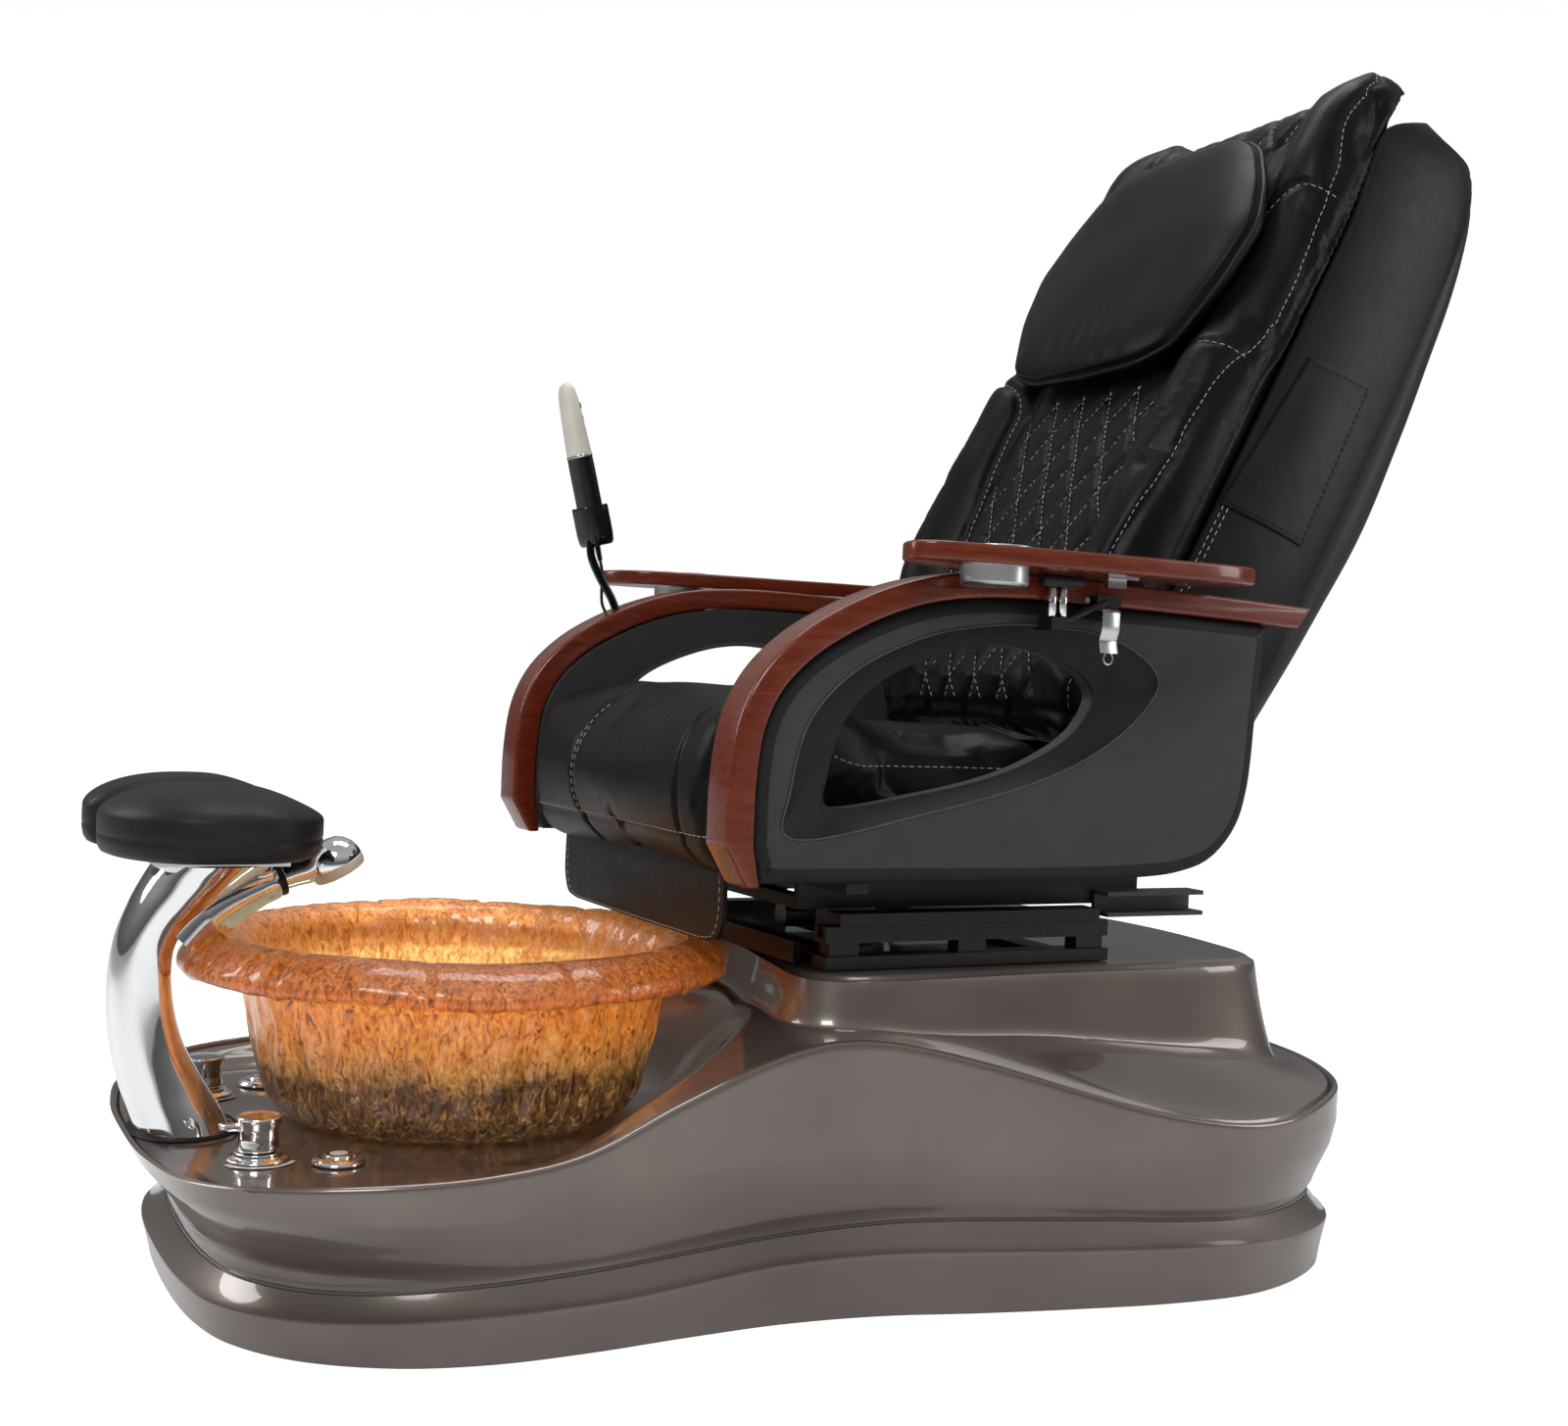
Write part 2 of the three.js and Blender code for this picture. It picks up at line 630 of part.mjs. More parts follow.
function buildSeatFrame() {
  const z0 = SLIDER_TOP_Z + GAP;
  const parts = [];
  for (const side of [-1, 1]) {
    const inner = side * 203;
    const outer = side * 213;
    parts.push(box(-50, 404, inner, outer, z0, SEAT_PAN_Z));
    parts.push(plate([v2(330, 440), v2(392, 440), v2(380, 508), v2(360, 522), v2(340, 508)], inner, outer));
    parts.push(crosswise(HINGE.x, HINGE.z, side * 178, side * 212, 8, 12));
    parts.push(crosswise(ARM_PIVOT.x, ARM_PIVOT.z, side * 204, side * 306, 9, 12));
    parts.push(box(386, 414, inner, outer, 440, 496));
    parts.push(box(-50, -24, side * 204, side * 318, 427, 438));
  }
  for (const [x0, x1] of [[-50, -30], [40, 64], [200, 216]]) {
    parts.push(box(x0, x1, -204, 204, z0, 412));
  }
  parts.push(box(-50, 216, -212, -120, SEAT_PAN_Z - 4, SEAT_PAN_Z));
  parts.push(box(-50, 216, 120, 212, SEAT_PAN_Z - 4, SEAT_PAN_Z));
  parts.push(box(202, 214, -204, -26, 410, SEAT_PAN_Z));
  parts.push(box(202, 214, 26, 204, 410, SEAT_PAN_Z));
  parts.push(box(201, 215, -12, 12, 354, 400).subtract(bar(v3(190, 0, 364), v3(226, 0, 364), 6, 12)));
  add('seat_frame', union(parts), BLACK_STEEL);

  const bracket = [];
  for (const side of [-1, 1]) {
    const channel = box(338, 478, side * (213 + GAP), side * 245, 386, 415);
    bracket.push(channel.subtract(box(330, 490, side * 219, side * 250, 391, 410)));
  }
  bracket.push(box(456, 478, -219, 219, 386, 392));
  bracket.push(box(462, 478, 60, 150, 386, 430));
  add('rear_bracket', union(bracket), PANEL_GREY);
}

function buildSeat() {
  const side = [
    ...smooth([
      [232, 467], [60, 466], [-60, 462], [-116, 441], [-162, 440], [-182, 462], [-190, 520], [-189, 560],
      [-175, 600], [-142, 619], [-92, 624], [-30, 616], [40, 588], [120, 580], [236, 578],
    ], 26),
  ];
  const ring = (y, inset) => offset(side, -inset).map((point) => v3(point.x, y, point.y));
  add('seat_cushion', loft([
    ring(-SEAT_HALF, 12), ring(-SEAT_HALF + 14, 0), ring(SEAT_HALF - 14, 0), ring(SEAT_HALF, 12),
  ]), LEATHER);

  const flap = smooth([
    [-232, 436], [-234, 395], [-222, 369], [-190, 364], [0, 364], [190, 364], [222, 369], [234, 395],
    [232, 436],
  ], 18);
  const geometry = extruded(new THREE.Shape(flap), 4);
  const turn = new THREE.Matrix4().makeBasis(v3(0, 1, 0), v3(0, 0, 1), v3(1, 0, 0));
  add('seat_apron', solid(geometry.applyMatrix4(turn).translate(-148, 0, 0)), LEATHER);

  const z = HINGE.z - CRANK_DROP;
  const tube = union([
    bar(v3(74, 0, z), v3(262, 0, z), 18, 24),
    box(66, 112, -22, 22, 414, 456),
  ]).subtract(bar(v3(120, 0, z), v3(264, 0, z), 10, 20));
  add('recline_actuator', tube, ALUMINIUM);
  const fork = box(330, 374, -14, 14, z - 14, z + 17);
  const slot = box(352, 376, -15, 15, z - 7, z + 12);
  const throat = box(344, 376, -7.5, 7.5, z - 15, z + 18);
  const rod = union([bar(v3(146, 0, z), v3(332, 0, z), 9, 20), fork]);
  add('recline_rod', cut(rod, [slot, throat]), CHROME);
}

// Arms, trays and catches ----------------------------------------------------------------------------

// outer edge of the wooden arch, from the front foot over the top to the rear tip
const ARCH = [
  [-200, 478], [-199, 545], [-190, 605], [-168, 650], [-128, 690], [-75, 722], [-20, 745], [35, 759],
  [110, 766], [300, 762], [536, 752],
];
// foot of the eye-shaped opening to its rear end and back over the top
const EYE = [
  [-79, 519], [40, 531], [160, 562], [232, 604], [251, 640], [233, 664], [167, 686], [104, 688],
  [44, 675], [-25, 642], [-62, 600], [-78, 545],
];
const BEVEL = [
  [-134, 490], [30, 512], [214, 565], [300, 622], [322, 660], [276, 696], [180, 712], [81, 707],
  [10, 690], [-68, 650], [-112, 600], [-130, 530],
];

function archInner(thickness) {
  const outer = smooth(ARCH, 20);
  return outer.map((point, i) => {
    const before = outer[Math.max(i - 1, 0)];
    const after = outer[Math.min(i + 1, outer.length - 1)];
    const along = after.clone().sub(before).normalize();
    return point.clone().add(v2(along.y, -along.x).multiplyScalar(thickness(i / (outer.length - 1))));
  });
}

const eyeLine = () => smooth(EYE, 22, true);
const bevelLine = () => smooth(BEVEL, 22, true);

function panelLine(inset) {
  const under = archInner((u) => 30 - 6 * u + GAP + inset);
  const crest = under.filter((point) => point.x < 474 && point.y > 450);
  const rear = smooth([
    [478, 727], [470, 640], [461, 540], [446, 497], [412, 462], [372, 448], [300, 441], [-158, 440],
  ], 14);
  return [...crest, ...rear];
}

function woodLine() {
  const outer = smooth(ARCH, 20);
  const inner = archInner((u) => 30 - 6 * u).filter((point) => point.x < 520);
  return [...outer, ...inner.reverse(), v2(-162, 437), v2(-176, 437)];
}

function buildArm(name, side) {
  add(`arm_wood_${name}`, plate(woodLine(), side * ARM_IN, side * ARM_OUT), MAHOGANY);

  const at = (points, y) => points.map((point) => v3(point.x, side * y, point.y));
  const window = loft([at(bevelLine(), PANEL_OUT + 1), at(eyeLine(), PANEL_SPLIT - 1)]);
  const socketHole = box(POST_X - 12, POST_X + 12, side * (PANEL_OUT - 8), side * (PANEL_OUT + 2), 706, 740);
  const outer = plate(panelLine(0), side * PANEL_SPLIT, side * PANEL_OUT);
  add(`arm_outer_panel_${name}`, cut(outer, [window, socketHole]), PANEL_GREY);
  const inner = plate(panelLine(1), side * (ARM_IN + 2), side * (PANEL_SPLIT - GAP));
  const bore = crosswise(ARM_PIVOT.x, ARM_PIVOT.z, side * (ARM_IN - 2), side * 310, 9.6, 12);
  const eye = plate(eyeLine(), side * (ARM_IN - 2), side * (PANEL_SPLIT + 2));
  add(`arm_inner_panel_${name}`, cut(inner, [bore, eye]), PANEL_GREY);
}

function trayLine() {
  return smooth([
    [-44, 415], [-28, 432], [20, 438], [120, 439], [260, 437], [360, 428], [392, 408], [398, 380],
    [386, 346], [340, 334], [200, 332], [60, 334], [-10, 350], [-38, 382],
  ], 28, true);
}

function buildTray(name, side) {
  const place = (points) => points.map((point) => v2(point.x, side * point.y));
  const hole = upright(CUP.x, side * CUP.y, TRAY_Z0 - 1, TRAY_Z1 + 1, CUP.radius + GAP, 18);
  const board = slab(place(trayLine()), TRAY_Z0, TRAY_Z1);
  const keeper = box(222, 246, side * 366, side * 372, TRAY_Z0 - 12, TRAY_Z0 + 1);
  add(`tray_${name}`, cut(board, [hole]).add(keeper), MAHOGANY);
  const r = CUP.radius;
  const cup = turned([
    [0, CUP.bottom], [r - 3, CUP.bottom], [r, CUP.bottom + 3], [r, TRAY_Z1 + GAP], [r + 5, TRAY_Z1 + GAP],
    [r + 4, TRAY_Z1 + 2], [r - 2, TRAY_Z1 + 2], [r - 2, CUP.bottom + 2], [0, CUP.bottom + 2],
  ], CUP.x, side * CUP.y, 18);
  add(`tray_cup_${name}`, cup, STEEL);

  const y = side * 355;
  const onHinge = (x) => v3(x, side * TRAY_HINGE.y, TRAY_HINGE.z);
  const post = union([
    upright(POST_X - 7, y, 716, TRAY_HINGE.z, 4.5, 10),
    upright(POST_X + 7, y, 716, TRAY_HINGE.z, 4.5, 10),
    box(POST_X - 11, POST_X + 11, side * (PANEL_OUT - 7), side * 362, 708, 722),
    bar(v3(POST_X + 5, y, 716), v3(POST_X + 62, y, 742), 4.5, 10),
    box(POST_X + 50, POST_X + 82, side * 346, side * 358, 736, 748),
    box(POST_X + 58, POST_X + 74, side * 345.5, side * 348.5, 720, 740),
    crosswise(POST_X + 66, 728, side * 347, side * 363, 3, 10),
    bar(onHinge(POST_X - 26), onHinge(POST_X + 26), 6, 12),
  ]);
  add(`tray_post_${name}`, post, BLACK_STEEL);
  const lever = union([
    crosswise(POST_X + 66, 728, side * 349, side * 361, 6, 12),
    box(POST_X + 61, POST_X + 71, side * 349, side * 360, 692, 728),
    box(POST_X + 56, POST_X + 76, side * 349, side * 362, 684, 694),
  ]);
  const pin = crosswise(POST_X + 66, 728, side * 340, side * 368, 3.5, 12);
  add(`tray_catch_${name}`, lever.subtract(pin), CHROME);
}

// Back: frame, massage unit, covers, cushion and pillow ----------------------------------------------

const back = new THREE.Group();
back.position.copy(BACK_FOOT);
back.rotation.y = BACK_TILT;
chair.add(back);

// a point of the chair's XZ plane in the back's own frame
function inBack(x, z) {
  const dx = x - BACK_FOOT.x;
  const dz = z - BACK_FOOT.z;
  const sin = Math.sin(BACK_TILT);
  const cos = Math.cos(BACK_TILT);
  return v2(dx * cos - dz * sin, dx * sin + dz * cos);
}

// sections of the covers up the back: height, depth of the rear face, half width
const COVER_LEVELS = [
  [-12, 198, 226], [60, 217, 238], [180, 231, 245], [300, 242, 248], [430, 251, 249], [560, 245, 249],
  [700, 234, 247], [820, 225, 243], [900, 208, 236], [940, 180, 222], [960, 130, 190],
];

function coverRing([s, depth, half], inset) {
  const front = 48;
  const rear = depth - inset;
  const wide = half - inset;
  const corner = Math.min(40, (rear - front) * 0.5);
  const ring = [v3(front, -wide, s)];
  for (let k = 0; k <= 4; k += 1) {
    const angle = (k / 4) * (Math.PI / 2);
    ring.push(v3(rear - corner + corner * Math.sin(angle), -wide + corner - corner * Math.cos(angle), s));
  }
  return ring.concat(ring.map((point) => v3(point.x, -point.y, s)).reverse());
}

function buildBack() {
  const pivot = inBack(HINGE.x, HINGE.z);
  const crank = inBack(HINGE.x, HINGE.z - CRANK_DROP);
  const parts = [];
  for (const side of [-1, 1]) {
    const tube = box(FRAME_T - 12, FRAME_T + 12, side * 179, side * 200, pivot.y - 15, 850);
    parts.push(tube.subtract(crosswise(pivot.x, pivot.y, side * 176, side * 202, 8.6, 12)));
  }
  parts.push(box(FRAME_T - 9, FRAME_T + 9, -181, 181, 6, 26));
  parts.push(box(FRAME_T - 12, FRAME_T + 12, -200, 200, 838, 858));
  const lever = plate([
    v2(FRAME_T - 9, 24), v2(FRAME_T + 9, 24), v2(crank.x + 11, crank.y), v2(crank.x + 2, crank.y - 11),
    v2(crank.x - 10, crank.y - 6),
  ], -6, 6);
  parts.push(lever, crosswise(crank.x, crank.y, -13, 13, 6, 12));
  add('back_frame', union(parts), BLACK_STEEL, back);

  const whole = loft(COVER_LEVELS.map((level) => coverRing(level, 0)));
  const hollowLevels = COVER_LEVELS.map(([s, depth, half], i) => {
    const low = i === 0 ? s - 2 : s;
    return [Math.min(low, 948), depth, half];
  }).slice(0, -1);
  const hollow = loft(hollowLevels.map((level) => coverRing(level, 8)));
  const mouth = box(40, 49, -400, 400, -30, 940);
  const walls = cut(whole, [hollow, mouth.intersect(hollow)]);
  const split = 186;
  add('back_shroud', walls.intersect(box(0, split, -300, 300, -40, 1000)), LEATHER, back);
  add('back_shell', walls.intersect(box(split + GAP, 300, -300, 300, -40, 1000)), PANEL_GREY, back);

  const outline = smooth([
    [-240, 12], [-255, 120], [-262, 250], [-262, 560], [-262, 760], [-259, 908], [-242, 958], [-170, 954],
    [0, 946], [170, 954], [242, 958], [259, 908], [262, 760], [262, 560], [262, 250], [255, 120], [240, 12],
    [0, 8],
  ], 34, true);
  const layer = (t, inset) => offset(outline, -inset).map((point) => v3(t, point.x, point.y));
  add('back_cushion', loft([layer(46, 6), layer(32, 0), layer(-34, 0), layer(-66, 34)]), LEATHER, back);

  const hexagon = smooth([
    [-110, 822], [0, 828], [110, 822], [152, 795], [196, 730], [222, 668], [205, 590], [166, 500],
    [110, 482], [0, 478], [-110, 482], [-166, 500], [-205, 590], [-222, 668], [-196, 730], [-152, 795],
  ], 24, true);
  const puff = (t, inset) => offset(hexagon, -inset).map((point) => v3(t, point.x, point.y));
  add('head_pillow', loft([puff(-66 - GAP, 8), puff(-78, 0), puff(-98, 6), puff(-114, 34)]), LEATHER, back);

  const carriage = union([
    box(FRAME_T + 42, FRAME_T + 52, -160, 160, 326, 356),
    box(FRAME_T + 50, FRAME_T + 84, -48, 48, 310, 390),
    ...[-1, 1].map((side) => box(FRAME_T - 10, FRAME_T + 52, side * 146, side * 160, 326, 356)),
    ...[-1, 1].map((side) => box(FRAME_T - 10, FRAME_T + 10, side * 159, side * 178.5, 306, 376)),
  ]);
  const shaftHole = crosswise(FRAME_T, 341, -170, 170, 7, 12);
  add('massage_carriage', carriage.subtract(shaftHole), ALUMINIUM, back);
  const rollers = [crosswise(FRAME_T, 341, -158, 158, 6, 10)];
  for (const [y, radius] of [[-110, 36], [-64, 40], [64, 40], [110, 36]]) {
    rollers.push(crosswise(FRAME_T, 341, y - 12, y + 12, radius, 12));
  }
  add('massage_rollers', union(rollers), IVORY, back);
}

// Remote, its holder and its cord on the right arm ---------------------------------------------------

const CORD_RADIUS = 2;
const NECK_X = -62;                  // where the holder's neck lands on the arm
const CORD_X = -70;                  // where the remote's cord enters the arm

// a point above the arm's wood, measured square to its surface
function aboveArch(x, rise) {
  const line = smooth(ARCH, 200);
  const i = line.findIndex((point) => point.x > x && point.y > 600);
  const along = line[i].clone().sub(line[i - 1]);
  const foot = line[i - 1].clone().addScaledVector(along, (x - line[i - 1].x) / along.x);
  return foot.add(v2(-along.y, along.x).normalize().multiplyScalar(rise));
}

// from the remote's leaning frame to the chair's XZ plane, and back
function inChair(x, z) {
  const sin = Math.sin(REMOTE_TILT);
  const cos = Math.cos(REMOTE_TILT);
  return v2(REMOTE_FOOT.x + x * cos + z * sin, REMOTE_FOOT.z - x * sin + z * cos);
}

function inStand(x, y, z) {
  const dx = x - REMOTE_FOOT.x;
  const dz = z - REMOTE_FOOT.z;
  const sin = Math.sin(REMOTE_TILT);
  const cos = Math.cos(REMOTE_TILT);
  return v3(dx * cos - dz * sin, y - REMOTE_FOOT.y, dx * sin + dz * cos);
}

function buildRemote() {
  const stand = new THREE.Group();
  stand.position.copy(REMOTE_FOOT);
  stand.rotation.y = REMOTE_TILT;
  chair.add(stand);

  const section = (z, deep, wide) => {
    const ring = [];
    for (let k = 0; k < 20; k += 1) {
      const angle = (k / 20) * Math.PI * 2;
      const round = (value) => Math.sign(value) * Math.abs(value) ** 0.55;
      ring.push(v3((deep / 2) * round(Math.cos(angle)), (wide / 2) * round(Math.sin(angle)), z));
    }
    return ring;
  };
  const body = loft([
    section(8, 20, 46), section(20, 23, 54), section(110, 23, 54), section(180, 18, 46), section(206, 15, 38),
    section(214, 8, 24),
  ]);
  const relief = bar(v3(0, 0, -20), v3(0, 0, 10), 3.5, 12, 5);
  add('remote', body.add(relief), IVORY, stand);
  const pocket = box(-13, 13, -29, 29, 6, 60);
  const cable = bar(v3(0, 0, -6), v3(0, 0, 8), 8, 16);
  const neck = new THREE.CatmullRomCurve3([
    v3(-14, -14, 8), v3(-17, -15, -12), v3(-11, -13, -38), ...[16, 0.8].map((rise) => {
      const end = aboveArch(NECK_X, rise);
      return inStand(end.x, REMOTE_FOOT.y - 10, end.y);
    }),
  ]);
  const tube = new THREE.ExtrudeGeometry(
    new THREE.Shape().absarc(0, 0, 5.5, 0, Math.PI * 2), { steps: 10, extrudePath: neck, curveSegments: 4 });
  const cradle = cut(box(-18, 18, -34, 34, 0, 52), [pocket, cable, box(8, 20, -20, 20, 14, 60)]);
  add('remote_holder', cradle.add(solid(tube)), BLACK_PLASTIC, stand);

  const exit = inChair(0, -20.5);
  const lower = inChair(0, -34);
  const landing = [14, 0.7].map((rise) => aboveArch(CORD_X, rise));
  const route = new THREE.CatmullRomCurve3([
    v3(exit.x, REMOTE_FOOT.y, exit.y), v3(lower.x, REMOTE_FOOT.y + 1, lower.y),
    ...landing.map((point, i) => v3(point.x, REMOTE_FOOT.y + 5 + i, point.y)),
  ]);
  const section8 = new THREE.Shape().absarc(0, 0, CORD_RADIUS, 0, Math.PI * 2);
  const cord = new THREE.ExtrudeGeometry(section8, { steps: 16, extrudePath: route, curveSegments: 2 });
  add('remote_cord', solid(cord), BLACK_PLASTIC);
}

buildBase();
buildBowl();
buildColumn();
buildFootrest();
buildDeckFittings();
buildSlide();
buildSeatFrame();
buildSeat();
for (const [name, side] of SIDES) {
  buildArm(name, side);
  buildTray(name, side);
}
buildBack();
buildRemote();

export default chair;
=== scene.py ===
"""Visual model of the pedicure spa chair: smooth shells, upholstery, stitching and materials over the
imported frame. Metres, in the frame's own axes: +X to the rear, -Y the client's left, +Z up."""
import math

import bmesh
import bpy
import numpy as np
from mathutils import Matrix, Vector
from mathutils.geometry import tessellate_polygon


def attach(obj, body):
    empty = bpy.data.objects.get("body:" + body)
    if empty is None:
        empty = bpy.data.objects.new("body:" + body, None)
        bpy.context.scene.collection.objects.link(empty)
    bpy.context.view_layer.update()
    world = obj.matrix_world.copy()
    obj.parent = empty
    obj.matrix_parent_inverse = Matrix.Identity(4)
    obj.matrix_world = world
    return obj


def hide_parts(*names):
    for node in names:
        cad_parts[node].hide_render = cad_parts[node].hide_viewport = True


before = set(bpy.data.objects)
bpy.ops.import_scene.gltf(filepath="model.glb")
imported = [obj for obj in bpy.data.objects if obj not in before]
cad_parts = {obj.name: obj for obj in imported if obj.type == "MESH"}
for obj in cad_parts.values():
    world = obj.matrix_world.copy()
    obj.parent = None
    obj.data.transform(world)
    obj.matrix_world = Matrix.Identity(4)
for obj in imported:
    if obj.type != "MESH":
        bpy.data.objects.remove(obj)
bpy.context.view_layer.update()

SIDES = (("left", -1), ("right", 1))
rng = np.random.default_rng(7)


# Camera, light and floor -----------------------------------------------------------------------------

CAMERA_TURN, CAMERA_DIP, CAMERA_ROLL = (math.radians(v) for v in (-27.28, 0.85, 2.36))
CAMERA_PLACE = (-0.98058, -1.96690, 0.63796)
LENS, SENSOR = 42.52, 36                      # millimetres
ROOM_GREYS = [(0.0, 0.5), (0.42, 0.6), (0.5, 0.16), (0.6, 0.3), (0.78, 0.9), (1.0, 0.7)]
FLOOR_REACH = 40


def make_camera():
    """Camera at the viewpoint fitted to the photograph."""
    forward = Vector((-math.sin(CAMERA_TURN) * math.cos(CAMERA_DIP), math.cos(CAMERA_TURN) * math.cos(CAMERA_DIP),
                      -math.sin(CAMERA_DIP)))
    level_right = Vector((math.cos(CAMERA_TURN), math.sin(CAMERA_TURN), 0))
    upright = level_right.cross(forward)
    right = level_right * math.cos(CAMERA_ROLL) + upright * math.sin(CAMERA_ROLL)
    up = -level_right * math.sin(CAMERA_ROLL) + upright * math.cos(CAMERA_ROLL)
    data = bpy.data.cameras.new("camera")
    data.sensor_width, data.lens = SENSOR, LENS
    camera = bpy.data.objects.new("camera", data)
    matrix = Matrix((right, up, -forward)).transposed().to_4x4()
    matrix.translation = Vector(CAMERA_PLACE)
    camera.matrix_world = matrix
    bpy.context.scene.collection.objects.link(camera)
    bpy.context.scene.camera = camera


def area_light(name, place, target, size, power):
    data = bpy.data.lights.new(name, "AREA")
    data.shape = "RECTANGLE"
    data.size, data.size_y = size
    data.energy = power
    lamp = bpy.data.objects.new(name, data)
    lamp.location = place
    lamp.rotation_euler = (Vector(target) - Vector(place)).to_track_quat("-Z", "Y").to_euler()
    bpy.context.scene.collection.objects.link(lamp)


def fill_ramp(node, stops):
    elements = node.color_ramp.elements
    while len(elements) < len(stops):
        elements.new(0.5)
    for element, (at, color) in zip(elements, stops):
        element.position = at
        element.color = (*color, 1)


def straight_rays(tree):
    """1 for rays from the camera, straight or through glass, and 0 for all others."""
    path = tree.nodes.new("ShaderNodeLightPath")
    either = tree.nodes.new("ShaderNodeMath")
    either.operation = "MAXIMUM"
    tree.links.new(path.outputs["Is Camera Ray"], either.inputs[0])
    tree.links.new(path.outputs["Is Transmission Ray"], either.inputs[1])
    return either.outputs[0]


def make_world():
    """White behind the object, and a banded grey room for reflections and light."""
    world = bpy.data.worlds.new("studio")
    bpy.context.scene.world = world
    world.use_nodes = True
    tree = world.node_tree
    tree.nodes.clear()
    link = tree.links.new
    out, plain, room, place, split, ramp, height, mix = (tree.nodes.new("ShaderNode" + kind) for kind in (
        "OutputWorld", "Background", "Background", "TexCoord", "SeparateXYZ", "ValToRGB", "MapRange", "MixShader"))
    plain.inputs[0].default_value = (1, 1, 1, 1)
    room.inputs[1].default_value = 0.5
    fill_ramp(ramp, [(at, (grey, grey, grey)) for at, grey in ROOM_GREYS])
    height.inputs[1].default_value = -1
    link(place.outputs["Generated"], split.inputs[0])
    link(split.outputs[2], height.inputs[0])
    link(height.outputs[0], ramp.inputs[0])
    link(ramp.outputs[0], room.inputs[0])
    link(straight_rays(tree), mix.inputs[0])
    link(room.outputs[0], mix.inputs[1])
    link(plain.outputs[0], mix.inputs[2])
    link(mix.outputs[0], out.inputs[0])


def make_floor():
    """Pale floor that glows a little for the camera only, so that it meets the white background."""
    mesh = bpy.data.meshes.new("floor")
    mesh.from_pydata([(x * FLOOR_REACH, y * FLOOR_REACH, 0) for x, y in ((-1, -1), (1, -1), (1, 1), (-1, 1))],
                     [], [(0, 1, 2, 3)])
    plane = bpy.data.objects.new("floor", mesh)
    bpy.context.scene.collection.objects.link(plane)
    look = bpy.data.materials.new("floor_white")
    look.use_nodes = True
    tree = look.node_tree
    link = tree.links.new
    shader = tree.nodes["Principled BSDF"]
    shader.inputs["Base Color"].default_value = (0.93, 0.93, 0.93, 1)
    shader.inputs["Roughness"].default_value = 0.6
    glow, strength, total = (tree.nodes.new("ShaderNode" + kind) for kind in ("Emission", "Math", "AddShader"))
    strength.operation = "MULTIPLY"
    strength.inputs[1].default_value = 0.74
    link(straight_rays(tree), strength.inputs[0])
    link(strength.outputs[0], glow.inputs[1])
    link(shader.outputs[0], total.inputs[0])
    link(glow.outputs[0], total.inputs[1])
    link(total.outputs[0], tree.nodes["Material Output"].inputs["Surface"])
    mesh.materials.append(look)


def make_studio():
    area_light("key", (-1.9, -2.4, 3.0), (0.1, 0, 0.5), (1.5, 1.1), 66)
    area_light("side", (2.8, -2.0, 1.6), (0.3, 0, 0.6), (0.9, 1.8), 24)
    area_light("top", (0.3, 0.5, 3.4), (0.2, 0, 0.4), (2.4, 1.2), 42)
    area_light("far", (-2.6, 1.8, 2.0), (0, 0, 0.6), (1.0, 1.6), 30)
    make_world()
    make_floor()


make_camera()
make_studio()
bpy.context.scene.view_settings.view_transform = "Standard"


# Materials -------------------------------------------------------------------------------------------

class Look:
    """A Principled material under construction, with object coordinates in metres."""

    def __init__(self, name, color, roughness, metallic=0.0, **sockets):
        self.material = bpy.data.materials.new(name)
        self.material.use_nodes = True
        self.tree = self.material.node_tree
        self.shader = self.tree.nodes["Principled BSDF"]
        sockets.update(Base_Color=(*color, 1), Roughness=roughness, Metallic=metallic)
        for key, value in sockets.items():
            self.shader.inputs[key.replace("_", " ")].default_value = value
        self.place = self.tree.nodes.new("ShaderNodeTexCoord").outputs["Object"]
        self.bumps = None

    def link(self, out, to):
        self.tree.links.new(out, to)

    def feed(self, socket, value):
        self.link(value, self.shader.inputs[socket])

    def node(self, kind, source, socket, **values):
        """A new node with a source linked to one socket and plain values on others."""
        node = self.tree.nodes.new("ShaderNode" + kind)
        for key, value in values.items():
            node.inputs[key].default_value = value
        self.link(source, node.inputs[socket])
        return node

    def stretched(self, scale):
        return self.node("Mapping", self.place, "Vector", Scale=scale).outputs[0]

    def noise(self, scale, detail=3.0, roughness=0.5, at=None, distortion=0.0):
        return self.node("TexNoise", at or self.place, "Vector", Scale=scale, Detail=detail, Roughness=roughness,
                         Distortion=distortion).outputs[0]

    def cells(self, scale):
        return self.node("TexVoronoi", self.place, "Vector", Scale=scale).outputs["Distance"]

    def ramp(self, value, stops):
        node = self.node("ValToRGB", value, 0)
        fill_ramp(node, stops)
        return node.outputs[0]

    def span(self, value, low, high, start=0.0, stop=1.0):
        node = self.node("MapRange", value, 0)
        for index, number in enumerate((start, stop, low, high), 1):
            node.inputs[index].default_value = number
        return node.outputs[0]

    def mix(self, share, first, second):
        node = self.tree.nodes.new("ShaderNodeMix")
        node.data_type = "RGBA"
        for value, index in ((share, 0), (first, 6), (second, 7)):
            if isinstance(value, float):
                node.inputs[index].default_value = value
            elif isinstance(value, tuple):
                node.inputs[index].default_value = (*value, 1)
            else:
                self.link(value, node.inputs[index])
        return node.outputs[2]

    def height(self):
        return self.node("SeparateXYZ", self.place, 0).outputs[2]

    def bump(self, value, strength, distance):
        node = self.node("Bump", value, "Height", Strength=strength, Distance=distance)
        if self.bumps:
            self.link(self.bumps, node.inputs["Normal"])
        self.bumps = node.outputs[0]
        self.feed("Normal", self.bumps)

    def color(self, value):
        self.feed("Base Color", value)

    def roughness(self, value):
        self.feed("Roughness", value)


